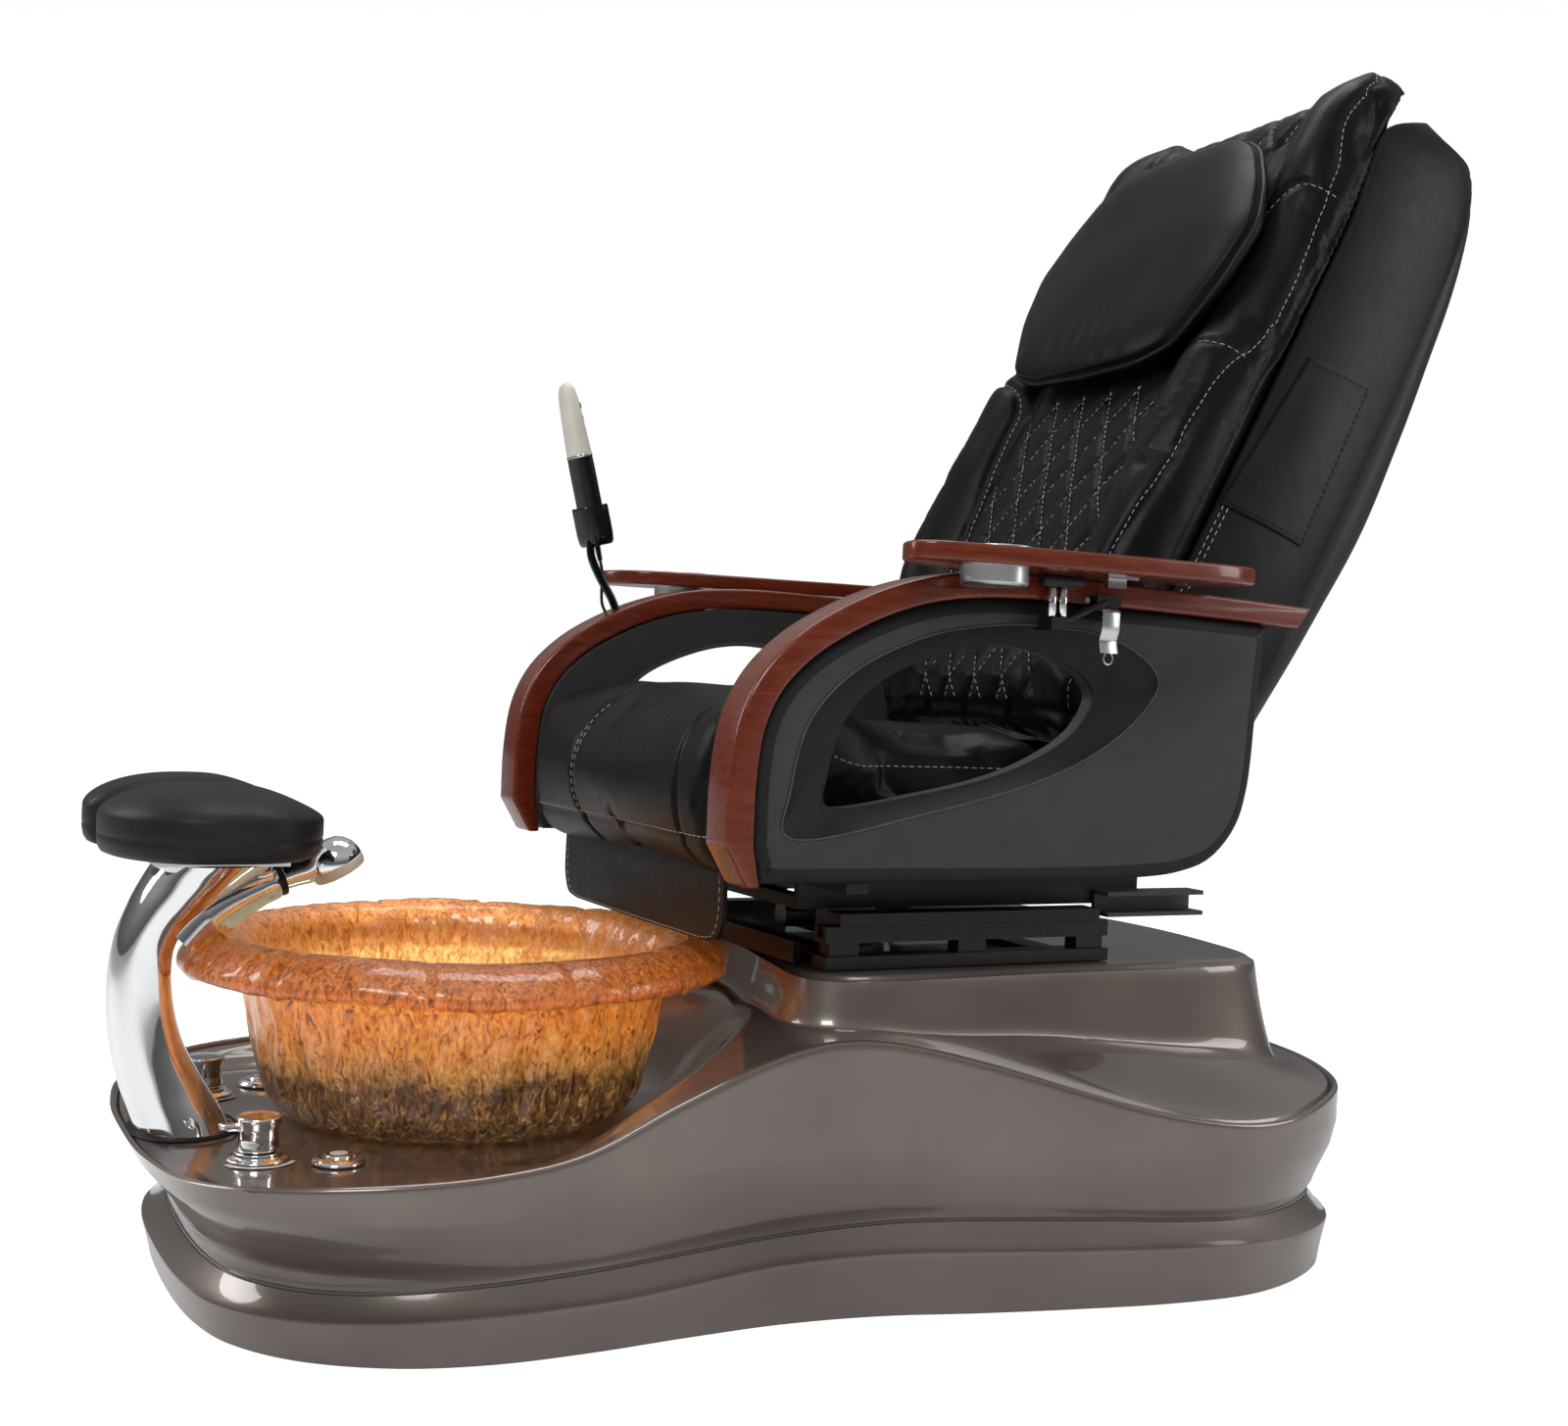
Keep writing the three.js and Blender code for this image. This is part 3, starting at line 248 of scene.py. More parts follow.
def gloss_tub(name, dark, light):
    look = Look(name, light, 0.3, 0.5, Coat_Weight=1.0, Coat_Roughness=0.035)
    look.color(look.ramp(look.noise(5.5, 4), [(0.3, dark), (0.7, light)]))
    look.roughness(look.span(look.noise(900, 2), 0.26, 0.38))
    look.bump(look.noise(9, 2), 0.04, 0.004)
    return look.material


def leather(name, dark, light, grain=520.0, shine=0.4):
    look = Look(name, dark, shine, 0.0, Coat_Weight=0.02, Coat_Roughness=0.3, Specular_IOR_Level=0.12)
    look.color(look.ramp(look.noise(14, 4), [(0.3, dark), (0.75, light)]))
    look.roughness(look.span(look.noise(60, 3), shine - 0.06, shine + 0.1))
    look.bump(look.noise(26, 3, distortion=0.4), 0.18, 0.0016)
    look.bump(look.cells(grain), 0.16, 0.0005)
    look.bump(look.noise(grain * 2.4, 2), 0.1, 0.0003)
    return look.material


def mahogany():
    look = Look("mahogany_lacquer", (0.16, 0.03, 0.012), 0.3, 0.0, Coat_Weight=0.4, Coat_Roughness=0.08,
                Specular_IOR_Level=0.3)
    grain = look.noise(5.0, 6, 0.6, look.stretched((3.0, 26.0, 26.0)), 0.8)
    pores = look.noise(60.0, 3, 0.6, look.stretched((2.0, 22.0, 22.0)))
    tone = look.ramp(grain, [(0.28, (0.092, 0.013, 0.004)), (0.5, (0.138, 0.021, 0.007)),
                             (0.75, (0.175, 0.031, 0.010))])
    look.color(look.mix(look.span(pores, 0.0, 0.35, 0.5, 0.7), tone, (0.05, 0.008, 0.004)))
    look.roughness(look.span(grain, 0.2, 0.32))
    look.bump(pores, 0.05, 0.0003)
    return look.material


def moulded(name, color, rough=0.55, grain=900.0, depth=0.0004):
    look = Look(name, color, rough, 0.0, Specular_IOR_Level=0.26)
    lighter = tuple(min(1.0, c * 1.12 + 0.001) for c in color)
    look.color(look.ramp(look.noise(30, 4), [(0.35, color), (0.7, lighter)]))
    look.roughness(look.span(look.noise(240, 3), rough - 0.07, rough + 0.08))
    look.bump(look.cells(grain), 0.22, depth)
    return look.material


def chrome():
    tint, rough = (0.86, 0.87, 0.88), 0.06
    look = Look("chrome_plate", tint, rough, 1.0)
    look.roughness(look.span(look.noise(30, 4), rough * 0.6, rough * 1.8))
    look.color(look.ramp(look.noise(12, 3), [(0.3, tuple(c * 0.93 for c in tint)), (0.7, tint)]))
    look.bump(look.noise(16, 2), 0.02, 0.002)
    return look.material


def brushed(name, tint, rough, axis=(1.0, 60.0, 60.0)):
    look = Look(name, tint, rough, 1.0)
    lines = look.noise(40.0, 4, 0.6, look.stretched(axis))
    look.roughness(look.span(lines, rough - 0.08, rough + 0.12))
    look.color(look.mix(look.span(lines, 0.0, 0.25), tint, tuple(c * 0.7 for c in tint)))
    look.bump(lines, 0.05, 0.0002)
    return look.material


def painted(name, color):
    rough = 0.42
    look = Look(name, color, rough, 0.0, Specular_IOR_Level=0.3)
    chips = look.noise(70, 5, 0.65)
    look.color(look.ramp(chips, [(0.3, color), (0.72, tuple(c * 1.6 + 0.004 for c in color))]))
    look.roughness(look.span(chips, rough - 0.1, rough + 0.12))
    look.bump(look.noise(700, 2), 0.12, 0.0003)
    return look.material


def amber_glass(name, bright_stops, foot_stops, rim_stops, glow):
    """Flecked glass whose colour changes towards the foot of the bowl, with a tint of its own on the rim; it glows a
    little in its own colour, painted light through the glass.
    """
    look = Look(name, (0.9, 0.42, 0.1), 0.06, 0.0, Transmission_Weight=0.93, IOR=1.46, Coat_Weight=0.6,
                Coat_Roughness=0.02, Emission_Strength=glow)
    flecks = look.noise(135.0, 8, 0.74, look.stretched((1.0, 1.0, 0.36)), 1.2)
    cloud = look.noise(16.0, 6, 0.7)
    level_share = look.span(look.height(), 0.0, 1.0, 0.165, 0.35)
    # towards the foot the glass takes other colours: darker on the outer glass, paler on the inner glass, where the
    # paler foot is painted light
    lower = look.ramp(look.mix(0.34, level_share, cloud), [(0.36, (1, 1, 1)), (0.52, (0, 0, 0))])
    tone = look.mix(lower, look.ramp(flecks, bright_stops), look.ramp(flecks, foot_stops))
    rim = look.span(look.height(), 0.0, 0.75, 0.304, 0.318)
    tone = look.mix(rim, tone, look.ramp(flecks, rim_stops))
    look.color(tone)
    look.feed("Transmission Weight", look.span(flecks, 0.30, 0.95, 0.40, 0.50))
    # the glass glows in its own colour: painted light standing in for light through the glass
    look.feed("Emission Color", tone)
    look.roughness(look.span(flecks, 0.02, 0.12))
    look.bump(flecks, 0.55, 0.002)
    look.bump(look.noise(22.0, 4, 0.6, look.stretched((1.0, 1.0, 0.5))), 0.22, 0.004)
    return look.material


def thread(name, color):
    look = Look(name, color, 0.7)
    look.color(look.ramp(look.noise(900, 2), [(0.3, tuple(c * 0.7 for c in color)), (0.7, color)]))
    look.bump(look.noise(2600, 2), 0.3, 0.0002)
    return look.material


TUB = gloss_tub("taupe_gloss", (0.128, 0.102, 0.089), (0.172, 0.138, 0.121))
# darker copy of the taupe gloss: painted shade for the gap under the shell
TUB_SHADE = gloss_tub("taupe_painted_gap_shade", (0.035, 0.028, 0.025), (0.06, 0.05, 0.045))
LEATHER = leather("black_leather", (0.0026, 0.0026, 0.0028), (0.0052, 0.0052, 0.0055))
LEATHER_SIDE = leather("black_leather_smooth", (0.0072, 0.0072, 0.0076), (0.013, 0.013, 0.014), 700.0, 0.34)
PAD = leather("charcoal_polyurethane", (0.012, 0.012, 0.0135), (0.021, 0.021, 0.0235), 420.0, 0.44)
WOOD = mahogany()
PANEL = moulded("grey_panel_plastic", (0.036, 0.035, 0.035), 0.44)
PANEL_DARK = moulded("dark_grey_shell", (0.016, 0.016, 0.017), 0.46, 1200.0, 0.0002)
# near-black copy of the grey panel plastic: painted shade on the arm panels' rolled border and window recess
PANEL_SHADE = moulded("painted_shade_recess_plastic", (0.008, 0.008, 0.009), 0.6)
PLASTIC = moulded("black_plastic", (0.008, 0.008, 0.009), 0.35, 1400.0, 0.0002)
GLOSS_BLACK = moulded("gloss_black_plastic", (0.006, 0.006, 0.007), 0.12, 1400.0, 0.00002)
IVORY = moulded("ivory_plastic", (0.6, 0.57, 0.5), 0.3, 1400.0, 0.00008)
CHROME = chrome()
STEEL = brushed("brushed_steel", (0.62, 0.63, 0.64), 0.28)
ALUMINIUM = brushed("cast_aluminium", (0.42, 0.43, 0.44), 0.42, (30.0, 30.0, 30.0))
BLACK_STEEL = painted("black_enamel_steel", (0.008, 0.008, 0.009))
GREY_STEEL = painted("grey_enamel_steel", (0.045, 0.045, 0.047))
AMBER = amber_glass("amber_glass_outer", [(0.37, (0.18, 0.034, 0.005)), (0.45, (0.78, 0.26, 0.045)),
                                          (0.56, (1.0, 0.48, 0.13)), (0.68, (1.0, 0.74, 0.36))],
                    [(0.44, (0.018, 0.006, 0.002)), (0.56, (0.065, 0.023, 0.009)), (0.66, (0.62, 0.25, 0.05))],
                    [(0.40, (0.10, 0.014, 0.002)), (0.52, (0.66, 0.16, 0.022)), (0.68, (1.0, 0.50, 0.16))], 0.045)
# inner glass as a lit copy of the outer glass: paler colours, a paler foot and four times the glow, painted light
# falling into the bowl
AMBER_INNER_LIT = amber_glass("amber_glass_inner_lit", [(0.37, (0.60, 0.17, 0.03)), (0.50, (1.0, 0.54, 0.16)),
                                               (0.66, (1.0, 0.78, 0.42))],
                         [(0.32, (0.92, 0.58, 0.24)), (0.46, (1.0, 0.85, 0.54)), (0.62, (1.0, 0.94, 0.72))],
                         [(0.40, (0.34, 0.06, 0.008)), (0.52, (0.90, 0.30, 0.05)), (0.68, (1.0, 0.60, 0.20))], 0.18)
PIPE = moulded("grey_pipe_plastic", (0.22, 0.225, 0.23), 0.4)
RUBBER = moulded("black_rubber", (0.01, 0.01, 0.01), 0.6, 1600.0, 0.0001)
WHITE_THREAD = thread("white_thread", (0.50, 0.49, 0.47))
BLACK_THREAD = thread("black_thread", (0.0015, 0.0015, 0.0015))


# Curves and meshes -----------------------------------------------------------------------------------

def around(count):
    """Even angles once round a circle."""
    return np.linspace(0, 2 * math.pi, count, endpoint=False)


def level(line, z):
    """A line of (x, y) points at height z, which may vary along it."""
    return np.column_stack([line, np.broadcast_to(z, len(line))])


def in_plane(line, y):
    """A line of (x, z) points in the upright plane at y."""
    return np.column_stack([line[:, 0], np.full(len(line), y), line[:, 1]])


def signed_power(value, exponent):
    return np.sign(value) * np.abs(value) ** exponent


def superellipse(count, ax, ay, exponent):
    angle = around(count)
    return np.column_stack([ax * signed_power(np.cos(angle), exponent), ay * signed_power(np.sin(angle), exponent)])


def run_along(line):
    """Distance travelled at each point of a line."""
    return np.concatenate([[0], np.cumsum(np.linalg.norm(np.diff(line, axis=0), axis=1))])


def spline(points, count, closed=False):
    """Even samples of a centripetal Catmull-Rom curve through the points."""
    pts = np.asarray(points, float)
    if closed:
        ctrl = np.vstack([pts[-1], pts, pts[0], pts[1]])
    else:
        ctrl = np.vstack([2 * pts[0] - pts[1], pts, 2 * pts[-1] - pts[-2]])
    fine = []
    u = np.linspace(0, 1, 24, endpoint=False)[:, None]
    for p0, p1, p2, p3 in zip(ctrl, ctrl[1:], ctrl[2:], ctrl[3:]):
        d0, d1, d2 = (max(np.linalg.norm(b - a), 1e-9) ** 0.5 for a, b in ((p0, p1), (p1, p2), (p2, p3)))
        m1 = ((p1 - p0) / d0 - (p2 - p0) / (d0 + d1) + (p2 - p1) / d1) * d1
        m2 = ((p2 - p1) / d1 - (p3 - p1) / (d1 + d2) + (p3 - p2) / d2) * d1
        fine.append((2 * u**3 - 3 * u**2 + 1) * p1 + (u**3 - 2 * u**2 + u) * m1
                    + (-2 * u**3 + 3 * u**2) * p2 + (u**3 - u**2) * m2)
    fine.append(pts[:1] if closed else pts[-1:])
    return resample(np.vstack(fine), count, closed)


def resample(line, count, closed=False):
    """Evenly spaced points along a line; a closed line leaves out the repeated last point."""
    run = run_along(line)
    at = np.linspace(0, run[-1], count + 1)[:-1] if closed else np.linspace(0, run[-1], count)
    return np.column_stack([np.interp(at, run, line[:, k]) for k in range(line.shape[1])])


def mirrored(half):
    """Whole outline from the half with y >= 0 that runs from the front tip to the rear tip."""
    return list(half) + [(x, -y) for x, y in half[-2:0:-1]]


def offset(line, distance):
    """Closed outline moved outwards by a distance, with mitred corners."""
    line = np.asarray(line, float)
    ahead = np.roll(line, -1, 0) - line
    ahead /= np.linalg.norm(ahead, axis=1)[:, None] + 1e-12
    behind = np.roll(ahead, 1, 0)
    area = np.sum(line[:, 0] * np.roll(line[:, 1], -1) - np.roll(line[:, 0], -1) * line[:, 1])
    sign = math.copysign(1.0, area)
    n1 = np.column_stack([behind[:, 1], -behind[:, 0]]) * sign
    n2 = np.column_stack([ahead[:, 1], -ahead[:, 0]]) * sign
    both = (n1 + n2) / np.maximum(1 + np.sum(n1 * n2, axis=1), 0.6)[:, None]
    return line + both * distance


def smoothstep(low, high, value):
    u = np.clip((np.asarray(value, float) - low) / (high - low), 0, 1)
    return u * u * (3 - 2 * u)


def profile(pairs, x):
    """Smooth curve through (x, value) pairs, the same as the frame's own."""
    xs, ys = (np.array(v, float) for v in zip(*pairs))
    last = len(xs) - 1
    after, before = np.minimum(np.arange(last + 1) + 1, last), np.maximum(np.arange(last + 1) - 1, 0)
    slopes = (ys[after] - ys[before]) / (xs[after] - xs[before])
    x = np.clip(np.asarray(x, float), xs[0], xs[-1])
    i = np.clip(np.searchsorted(xs, x, side="right") - 1, 0, last - 1)
    width = xs[i + 1] - xs[i]
    u = (x - xs[i]) / width
    bend = u * u * (3 - 2 * u)
    lift = width * (slopes[i] * u * (1 - u) ** 2 - slopes[i + 1] * u * u * (1 - u))
    return ys[i] * (1 - bend) + ys[i + 1] * bend + lift


def piece(name, verts, faces, look, body, slot, replaces=(), sharp=40.0):
    """A finished mesh object: cleaned, and smooth but for edges sharper than sharp degrees."""
    mesh = bpy.data.meshes.new(name)
    mesh.from_pydata([tuple(v) for v in np.asarray(verts, float)], [], [tuple(f) for f in faces])
    bm = bmesh.new()
    bm.from_mesh(mesh)
    bmesh.ops.remove_doubles(bm, verts=bm.verts, dist=1e-6)
    bmesh.ops.dissolve_degenerate(bm, edges=bm.edges, dist=1e-7)
    bmesh.ops.recalc_face_normals(bm, faces=bm.faces)
    bm.to_mesh(mesh)
    bm.free()
    mesh.shade_smooth()
    if sharp:
        mesh.set_sharp_from_angle(angle=math.radians(sharp))
    mesh.materials.append(look)
    obj = bpy.data.objects.new(name, mesh)
    bpy.context.scene.collection.objects.link(obj)
    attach(obj, body)
    if replaces:
        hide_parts(*replaces)
    return obj


BOX_FACES = [(0, 1, 3, 2), (4, 6, 7, 5), (0, 4, 5, 1), (2, 3, 7, 6), (0, 2, 6, 4), (1, 5, 7, 3)]


def box(xs, ys, zs):
    """Vertices and faces of a box between two values on each axis."""
    return [(x, y, z) for x in xs for y in ys for z in zs], BOX_FACES


def grid_faces(rows, columns, wrap=True):
    last = columns if wrap else columns - 1
    return [(r * columns + c, r * columns + (c + 1) % columns, (r + 1) * columns + (c + 1) % columns,
             (r + 1) * columns + c) for r in range(rows - 1) for c in range(last)]


def tube(rings, cap_start=True, cap_end=True):
    """Vertices and faces of a skin through rings of equal length."""
    count = len(rings[0])
    faces = grid_faces(len(rings), count)
    if cap_start:
        faces.append(tuple(range(count))[::-1])
    if cap_end:
        first = (len(rings) - 1) * count
        faces.append(tuple(range(first, first + count)))
    return list(np.vstack(rings)), faces


def fillet(points, radius, steps=4):
    """Polyline with its inner corners rounded."""
    pts = [np.array(p, float) for p in points]
    out = [pts[0]]
    for a, b, c in zip(pts, pts[1:], pts[2:]):
        ab, cb = a - b, c - b
        reach = min(radius, np.linalg.norm(ab) * 0.45, np.linalg.norm(cb) * 0.45)
        start = b + ab / (np.linalg.norm(ab) + 1e-12) * reach
        end = b + cb / (np.linalg.norm(cb) + 1e-12) * reach
        for u in np.linspace(0, 1, steps + 1):
            out.append((1 - u) ** 2 * start + 2 * u * (1 - u) * b + u * u * end)
    out.append(pts[-1])
    return np.array(out)


def lathe(line, x, y, sides=72):
    """Rings of a (radius, height) profile turned about a vertical axis."""
    circle = superellipse(sides, 1, 1, 1)
    return [level((x, y) + r * circle, z) for r, z in line]


def turned(name, line, x, y, look, body, slot, replaces, sides, round_off):
    """A capped lathe piece with its profile's corners rounded off."""
    return piece(name, *tube(lathe(fillet(line, round_off), x, y, sides)), look, body, slot, replaces, 50)


def sweep(path, radius, sides=16, closed=False):
    """Round tube along a path of 3D points; the radius may vary along it."""
    path = np.asarray(path, float)
    radius = np.broadcast_to(radius, len(path))
    ahead = np.roll(path, -1, 0) - np.roll(path, 1, 0)
    if not closed:
        ahead[0], ahead[-1] = path[1] - path[0], path[-1] - path[-2]
    ahead /= np.linalg.norm(ahead, axis=1)[:, None]
    side = np.cross(ahead[0], (0, 0, 1) if abs(ahead[0][2]) < 0.9 else (1, 0, 0))
    rings = []
    angle = around(sides)
    for point, direction, size in zip(path, ahead, radius):
        side = side - direction * np.dot(side, direction)
        side /= np.linalg.norm(side)
        up = np.cross(direction, side)
        rings.append(point + size * (np.outer(np.cos(angle), side) + np.outer(np.sin(angle), up)))
    if not closed:
        return tube(rings)
    verts, faces = tube(rings, False, False)
    last = (len(rings) - 1) * sides
    return verts, faces + [(last + c, last + (c + 1) % sides, (c + 1) % sides, c) for c in range(sides)]


def joined(parts):
    """One vertex and face list out of several."""
    verts, faces = [], []
    for v, f in parts:
        base = len(verts)
        verts.extend(v)
        faces.extend(tuple(i + base for i in face) for face in f)
    return verts, faces


PROUD = 0.0003                # how far a seam's thread stands off the leather
# length, gap and width of one stitch
SEAM_STITCH = (0.0062, 0.0034, 0.00095)
FINE_STITCH = (0.0062, 0.0034, 0.0009)
QUILT_STITCH = (0.006, 0.0032, 0.0009)
COVER_STITCH = (0.0062, 0.004, 0.0011)
POCKET_STITCH = (0.006, 0.0036, 0.0012)


def stitches(path, length, gap, width):
    """Separate threads along a path: small rounded bars with thin ends."""
    path = np.asarray(path, float)
    run = run_along(path)
    count = max(1, int(run[-1] / (length + gap)))
    pitch = run[-1] / count
    parts = []
    for k in range(count):
        at = k * pitch + gap / 2 + length * np.array([0, 0.2, 0.8, 1])
        bar = np.column_stack([np.interp(at, run, path[:, axis]) for axis in range(3)])
        parts.append(sweep(bar, [width * 0.3, width * 0.55, width * 0.55, width * 0.3], 5))
    return joined(parts)


def dress(obj, look):
    """Gives a carried-over CAD node a procedural material."""
    obj.data.materials.clear()
    obj.data.materials.append(look)


# Base: plinth, tub shell -----------------------------------------------------------------------------

AROUND = 300
PLINTH_LINE = spline(mirrored([
    (-0.660, 0), (-0.652, 0.137), (-0.632, 0.206), (-0.584, 0.272), (-0.506, 0.323), (-0.421, 0.346),
    (-0.326, 0.350), (-0.222, 0.345), (-0.115, 0.344), (-0.010, 0.358), (0.090, 0.386), (0.197, 0.412),
    (0.306, 0.433), (0.410, 0.438), (0.501, 0.411), (0.570, 0.362), (0.625, 0.270), (0.652, 0.140), (0.660, 0),
]), AROUND, True)
RIM_LINE = spline(mirrored([
    (-0.705, 0), (-0.699, 0.130), (-0.673, 0.240), (-0.612, 0.315), (-0.524, 0.357), (-0.430, 0.366),
    (-0.338, 0.362), (-0.240, 0.357), (-0.136, 0.352), (-0.060, 0.354), (0.060, 0.375), (0.170, 0.405),
    (0.290, 0.436), (0.390, 0.446), (0.480, 0.432), (0.574, 0.380), (0.632, 0.280), (0.660, 0.150), (0.668, 0),
]), AROUND, True)
CREASE = [(-0.705, 0.162), (-0.600, 0.174), (-0.524, 0.178), (-0.430, 0.181), (-0.338, 0.193), (-0.240, 0.233),
          (-0.136, 0.270), (-0.070, 0.283), (0, 0.279), (0.100, 0.255), (0.290, 0.203), (0.425, 0.188),
          (0.574, 0.206), (0.668, 0.214)]
SHOULDER = [(-0.110, 0.290), (0.050, 0.286), (0.290, 0.258), (0.526, 0.234), (0.668, 0.222)]
PLINTH_EDGE = [(-0.660, 0.040), (-0.556, 0.044), (-0.423, 0.050), (-0.277, 0.053), (-0.119, 0.065), (0.044, 0.069),
               (0.208, 0.066), (0.381, 0.062), (0.527, 0.056), (0.660, 0.052)]
GROOVE = [(-0.660, 0.058), (-0.556, 0.061), (-0.423, 0.069), (-0.277, 0.075), (-0.119, 0.085), (0.044, 0.093),
          (0.208, 0.090), (0.381, 0.081), (0.527, 0.080), (0.660, 0.080)]
DECK = 0.157
LIP = 0.0045                   # radius of the tub's rolled rim
PLATFORM = 0.338
BOWL = (-0.357, 0.0)


def distance_inside(line, x, y):
    """Least distance from each point to a closed line."""
    a, b = line, np.roll(line, -1, 0)
    edge = b - a
    length = np.sum(edge * edge, axis=1)
    best = np.full(x.shape, np.inf)
    for (ax, ay), (ex, ey), size in zip(a, edge, length):
        along = np.clip(((x - ax) * ex + (y - ay) * ey) / size, 0, 1)
        best = np.minimum(best, np.hypot(ax + ex * along - x, ay + ey * along - y))
    return best


PLATFORM_LINE = spline(mirrored([
    (-0.022, 0), (-0.044, 0.130), (-0.060, 0.255), (-0.034, 0.285), (0.230, 0.287), (0.515, 0.281),
    (0.556, 0.250), (0.588, 0.130), (0.600, 0),
]), 200, True)


def platform_distance(x, y):
    """Signed distance outside the platform's top outline (negative inside)."""
    inside = np.zeros(x.shape, bool)
    for (ax, ay), (bx, by) in zip(PLATFORM_LINE, np.roll(PLATFORM_LINE, -1, 0)):
        crosses = (ay > y) != (by > y)
        with np.errstate(divide="ignore", invalid="ignore"):
            inside ^= crosses & (x < (bx - ax) * (y - ay) / (by - ay) + ax)
    away = distance_inside(PLATFORM_LINE, x, y)
    return np.where(inside, -away, away)


def top_height(x, y):
    """Height of the tub's upper surface: deck, cradle, shoulders and platform."""
    edge = distance_inside(RIM_LINE, x, y)
    crease = profile(CREASE, x)
    lip = 1 - smoothstep(0.006, 0.034, edge)
    cradle = smoothstep(0.214, 0.335, np.hypot(x - BOWL[0], y))
    rearward = smoothstep(-0.5, -0.26, x)
    rise = lip * (1 - rearward) + cradle * rearward
    front = DECK + (crease - DECK) * rise
    shoulder = crease + (profile(SHOULDER, x) - crease) * smoothstep(0, 0.13, edge)
    low = front + (shoulder - front) * smoothstep(-0.12, 0.01, x)
    # wall of the platform: steep below the rounded edge, flaring into the shoulder
    out = platform_distance(x, y)
    spread = 1.0 + 1.2 * smoothstep(0.05, -0.06, x) + 0.4 * smoothstep(0.45, 0.58, x)
    run = np.clip(out, 0, None) / (0.03 * spread)
    wall = PLATFORM - 0.148 * (1 - np.exp(-run * 1.7)) - 0.02 * run - 0.006 * smoothstep(-0.012, 0.0, out)
    blend = 0.022
    high = np.clip(0.5 + 0.5 * (wall - low) / blend, 0, 1)
    return low * (1 - high) + wall * high + blend * high * (1 - high) * 0.5


def build_tub():
    low = offset(PLINTH_LINE, -0.016)
    groove = profile(GROOVE, low[:, 0])
    crease = profile(CREASE, RIM_LINE[:, 0])
    rings = []
    for u in np.linspace(0, 1, 26):
        z = groove + (crease - LIP - groove) * u
        share = np.interp(z, [0.055, 0.08, 0.108, 0.138, 0.166, 0.2], [0, 0.06, 0.38, 0.8, 1.0, 1.0])
        rings.append(level(low + (RIM_LINE - low) * (share * smoothstep(0, 0.12, u))[:, None], z))
    for k in range(1, 7):
        turn = k / 6 * math.pi
        rings.append(level(offset(RIM_LINE, -LIP * (1 - math.cos(turn))),
                           crease - LIP + LIP * math.sin(turn) - 0.004 * max(0.0, k / 6 - 0.5) * 2))
    # the upper surface: in from the lip to the platform's foot, up its wall, then across its top
    centre = np.array([0.25, 0.0])
    start = offset(RIM_LINE, -0.0105)
    angle = np.arctan2(*(start - centre).T[::-1])
    top_line = PLATFORM_LINE - centre
    bearing = np.arctan2(top_line[:, 1], top_line[:, 0])
    order = np.argsort(bearing)
    radius = np.interp(angle, bearing[order], np.hypot(*top_line.T)[order], period=2 * math.pi)
    inward = np.column_stack([np.cos(angle), np.sin(angle)])
    foot = centre + inward * (radius + 0.045 + 0.03 * smoothstep(0.02, -0.1, start[:, 0]))[:, None]
    head = centre + inward * (radius - 0.014)[:, None]
    legs = [(start, foot, np.concatenate([np.linspace(0, 0.12, 14), np.linspace(0.13, 1, 74)])),
            (foot, head, np.linspace(0, 1, 46)[1:]),
            (head, centre + (head - centre) * 0.05, np.linspace(0, 1, 14)[1:])]
    for first, last, shares in legs:
        for share in shares:
            line = first + (last - first) * share
            sink = 0.004 * smoothstep(0.03, 0.0, share) if first is start else 0.0
            rings.append(level(line, top_height(*line.T) - 0.001 - sink))
    piece("tub_shell_skin", *tube(rings, False, True), TUB, "base", "tub_gloss", ("tub_shell",), 32)

    edge, ledge, inner = (offset(PLINTH_LINE, shift) for shift in (0.009, -0.014, -0.022))
    edge_z = profile(PLINTH_EDGE, edge[:, 0])
    ledge_z = profile(GROOVE, ledge[:, 0]) - 0.001
    corner = offset(edge, -0.0022)
    rings = [level(offset(PLINTH_LINE, -0.02), 0.0), level(offset(PLINTH_LINE, -0.003), 0.0),
             level(PLINTH_LINE, 0.0025)]
    for u in np.linspace(0.08, 1, 9):
        rings.append(level(PLINTH_LINE + (edge - PLINTH_LINE) * u ** 1.15, 0.0025 + (edge_z - 0.005) * u))
    rings += [level(offset(edge, -0.0006), edge_z - 0.0008), level(corner, edge_z)]
    for u in np.linspace(0.15, 1, 8):
        rings.append(level(corner + (ledge - corner) * u, edge_z + (ledge_z - edge_z) * u ** 1.25))
    rings += [level(inner, ledge_z), level(inner, ledge_z - 0.011)]
    piece("plinth_skin", *tube(rings, False, False), TUB, "base", "tub_gloss", ("plinth",), 32)

    # dark band of painted shade in the gap where the shell stands on the plinth
    gap = [level(offset(low, shift), groove + rise)
           for shift, rise in ((-0.004, -0.003), (0.0009, -0.0012), (0.0012, 0.0022), (-0.003, 0.004))]
    piece("plinth_gap_shade", *tube(gap, False, False), TUB_SHADE, "base", "tub_gloss")


# Bowl, drain and jet ---------------------------------------------------------------------------------

DRAIN_X, JET_X = -0.427, -0.297


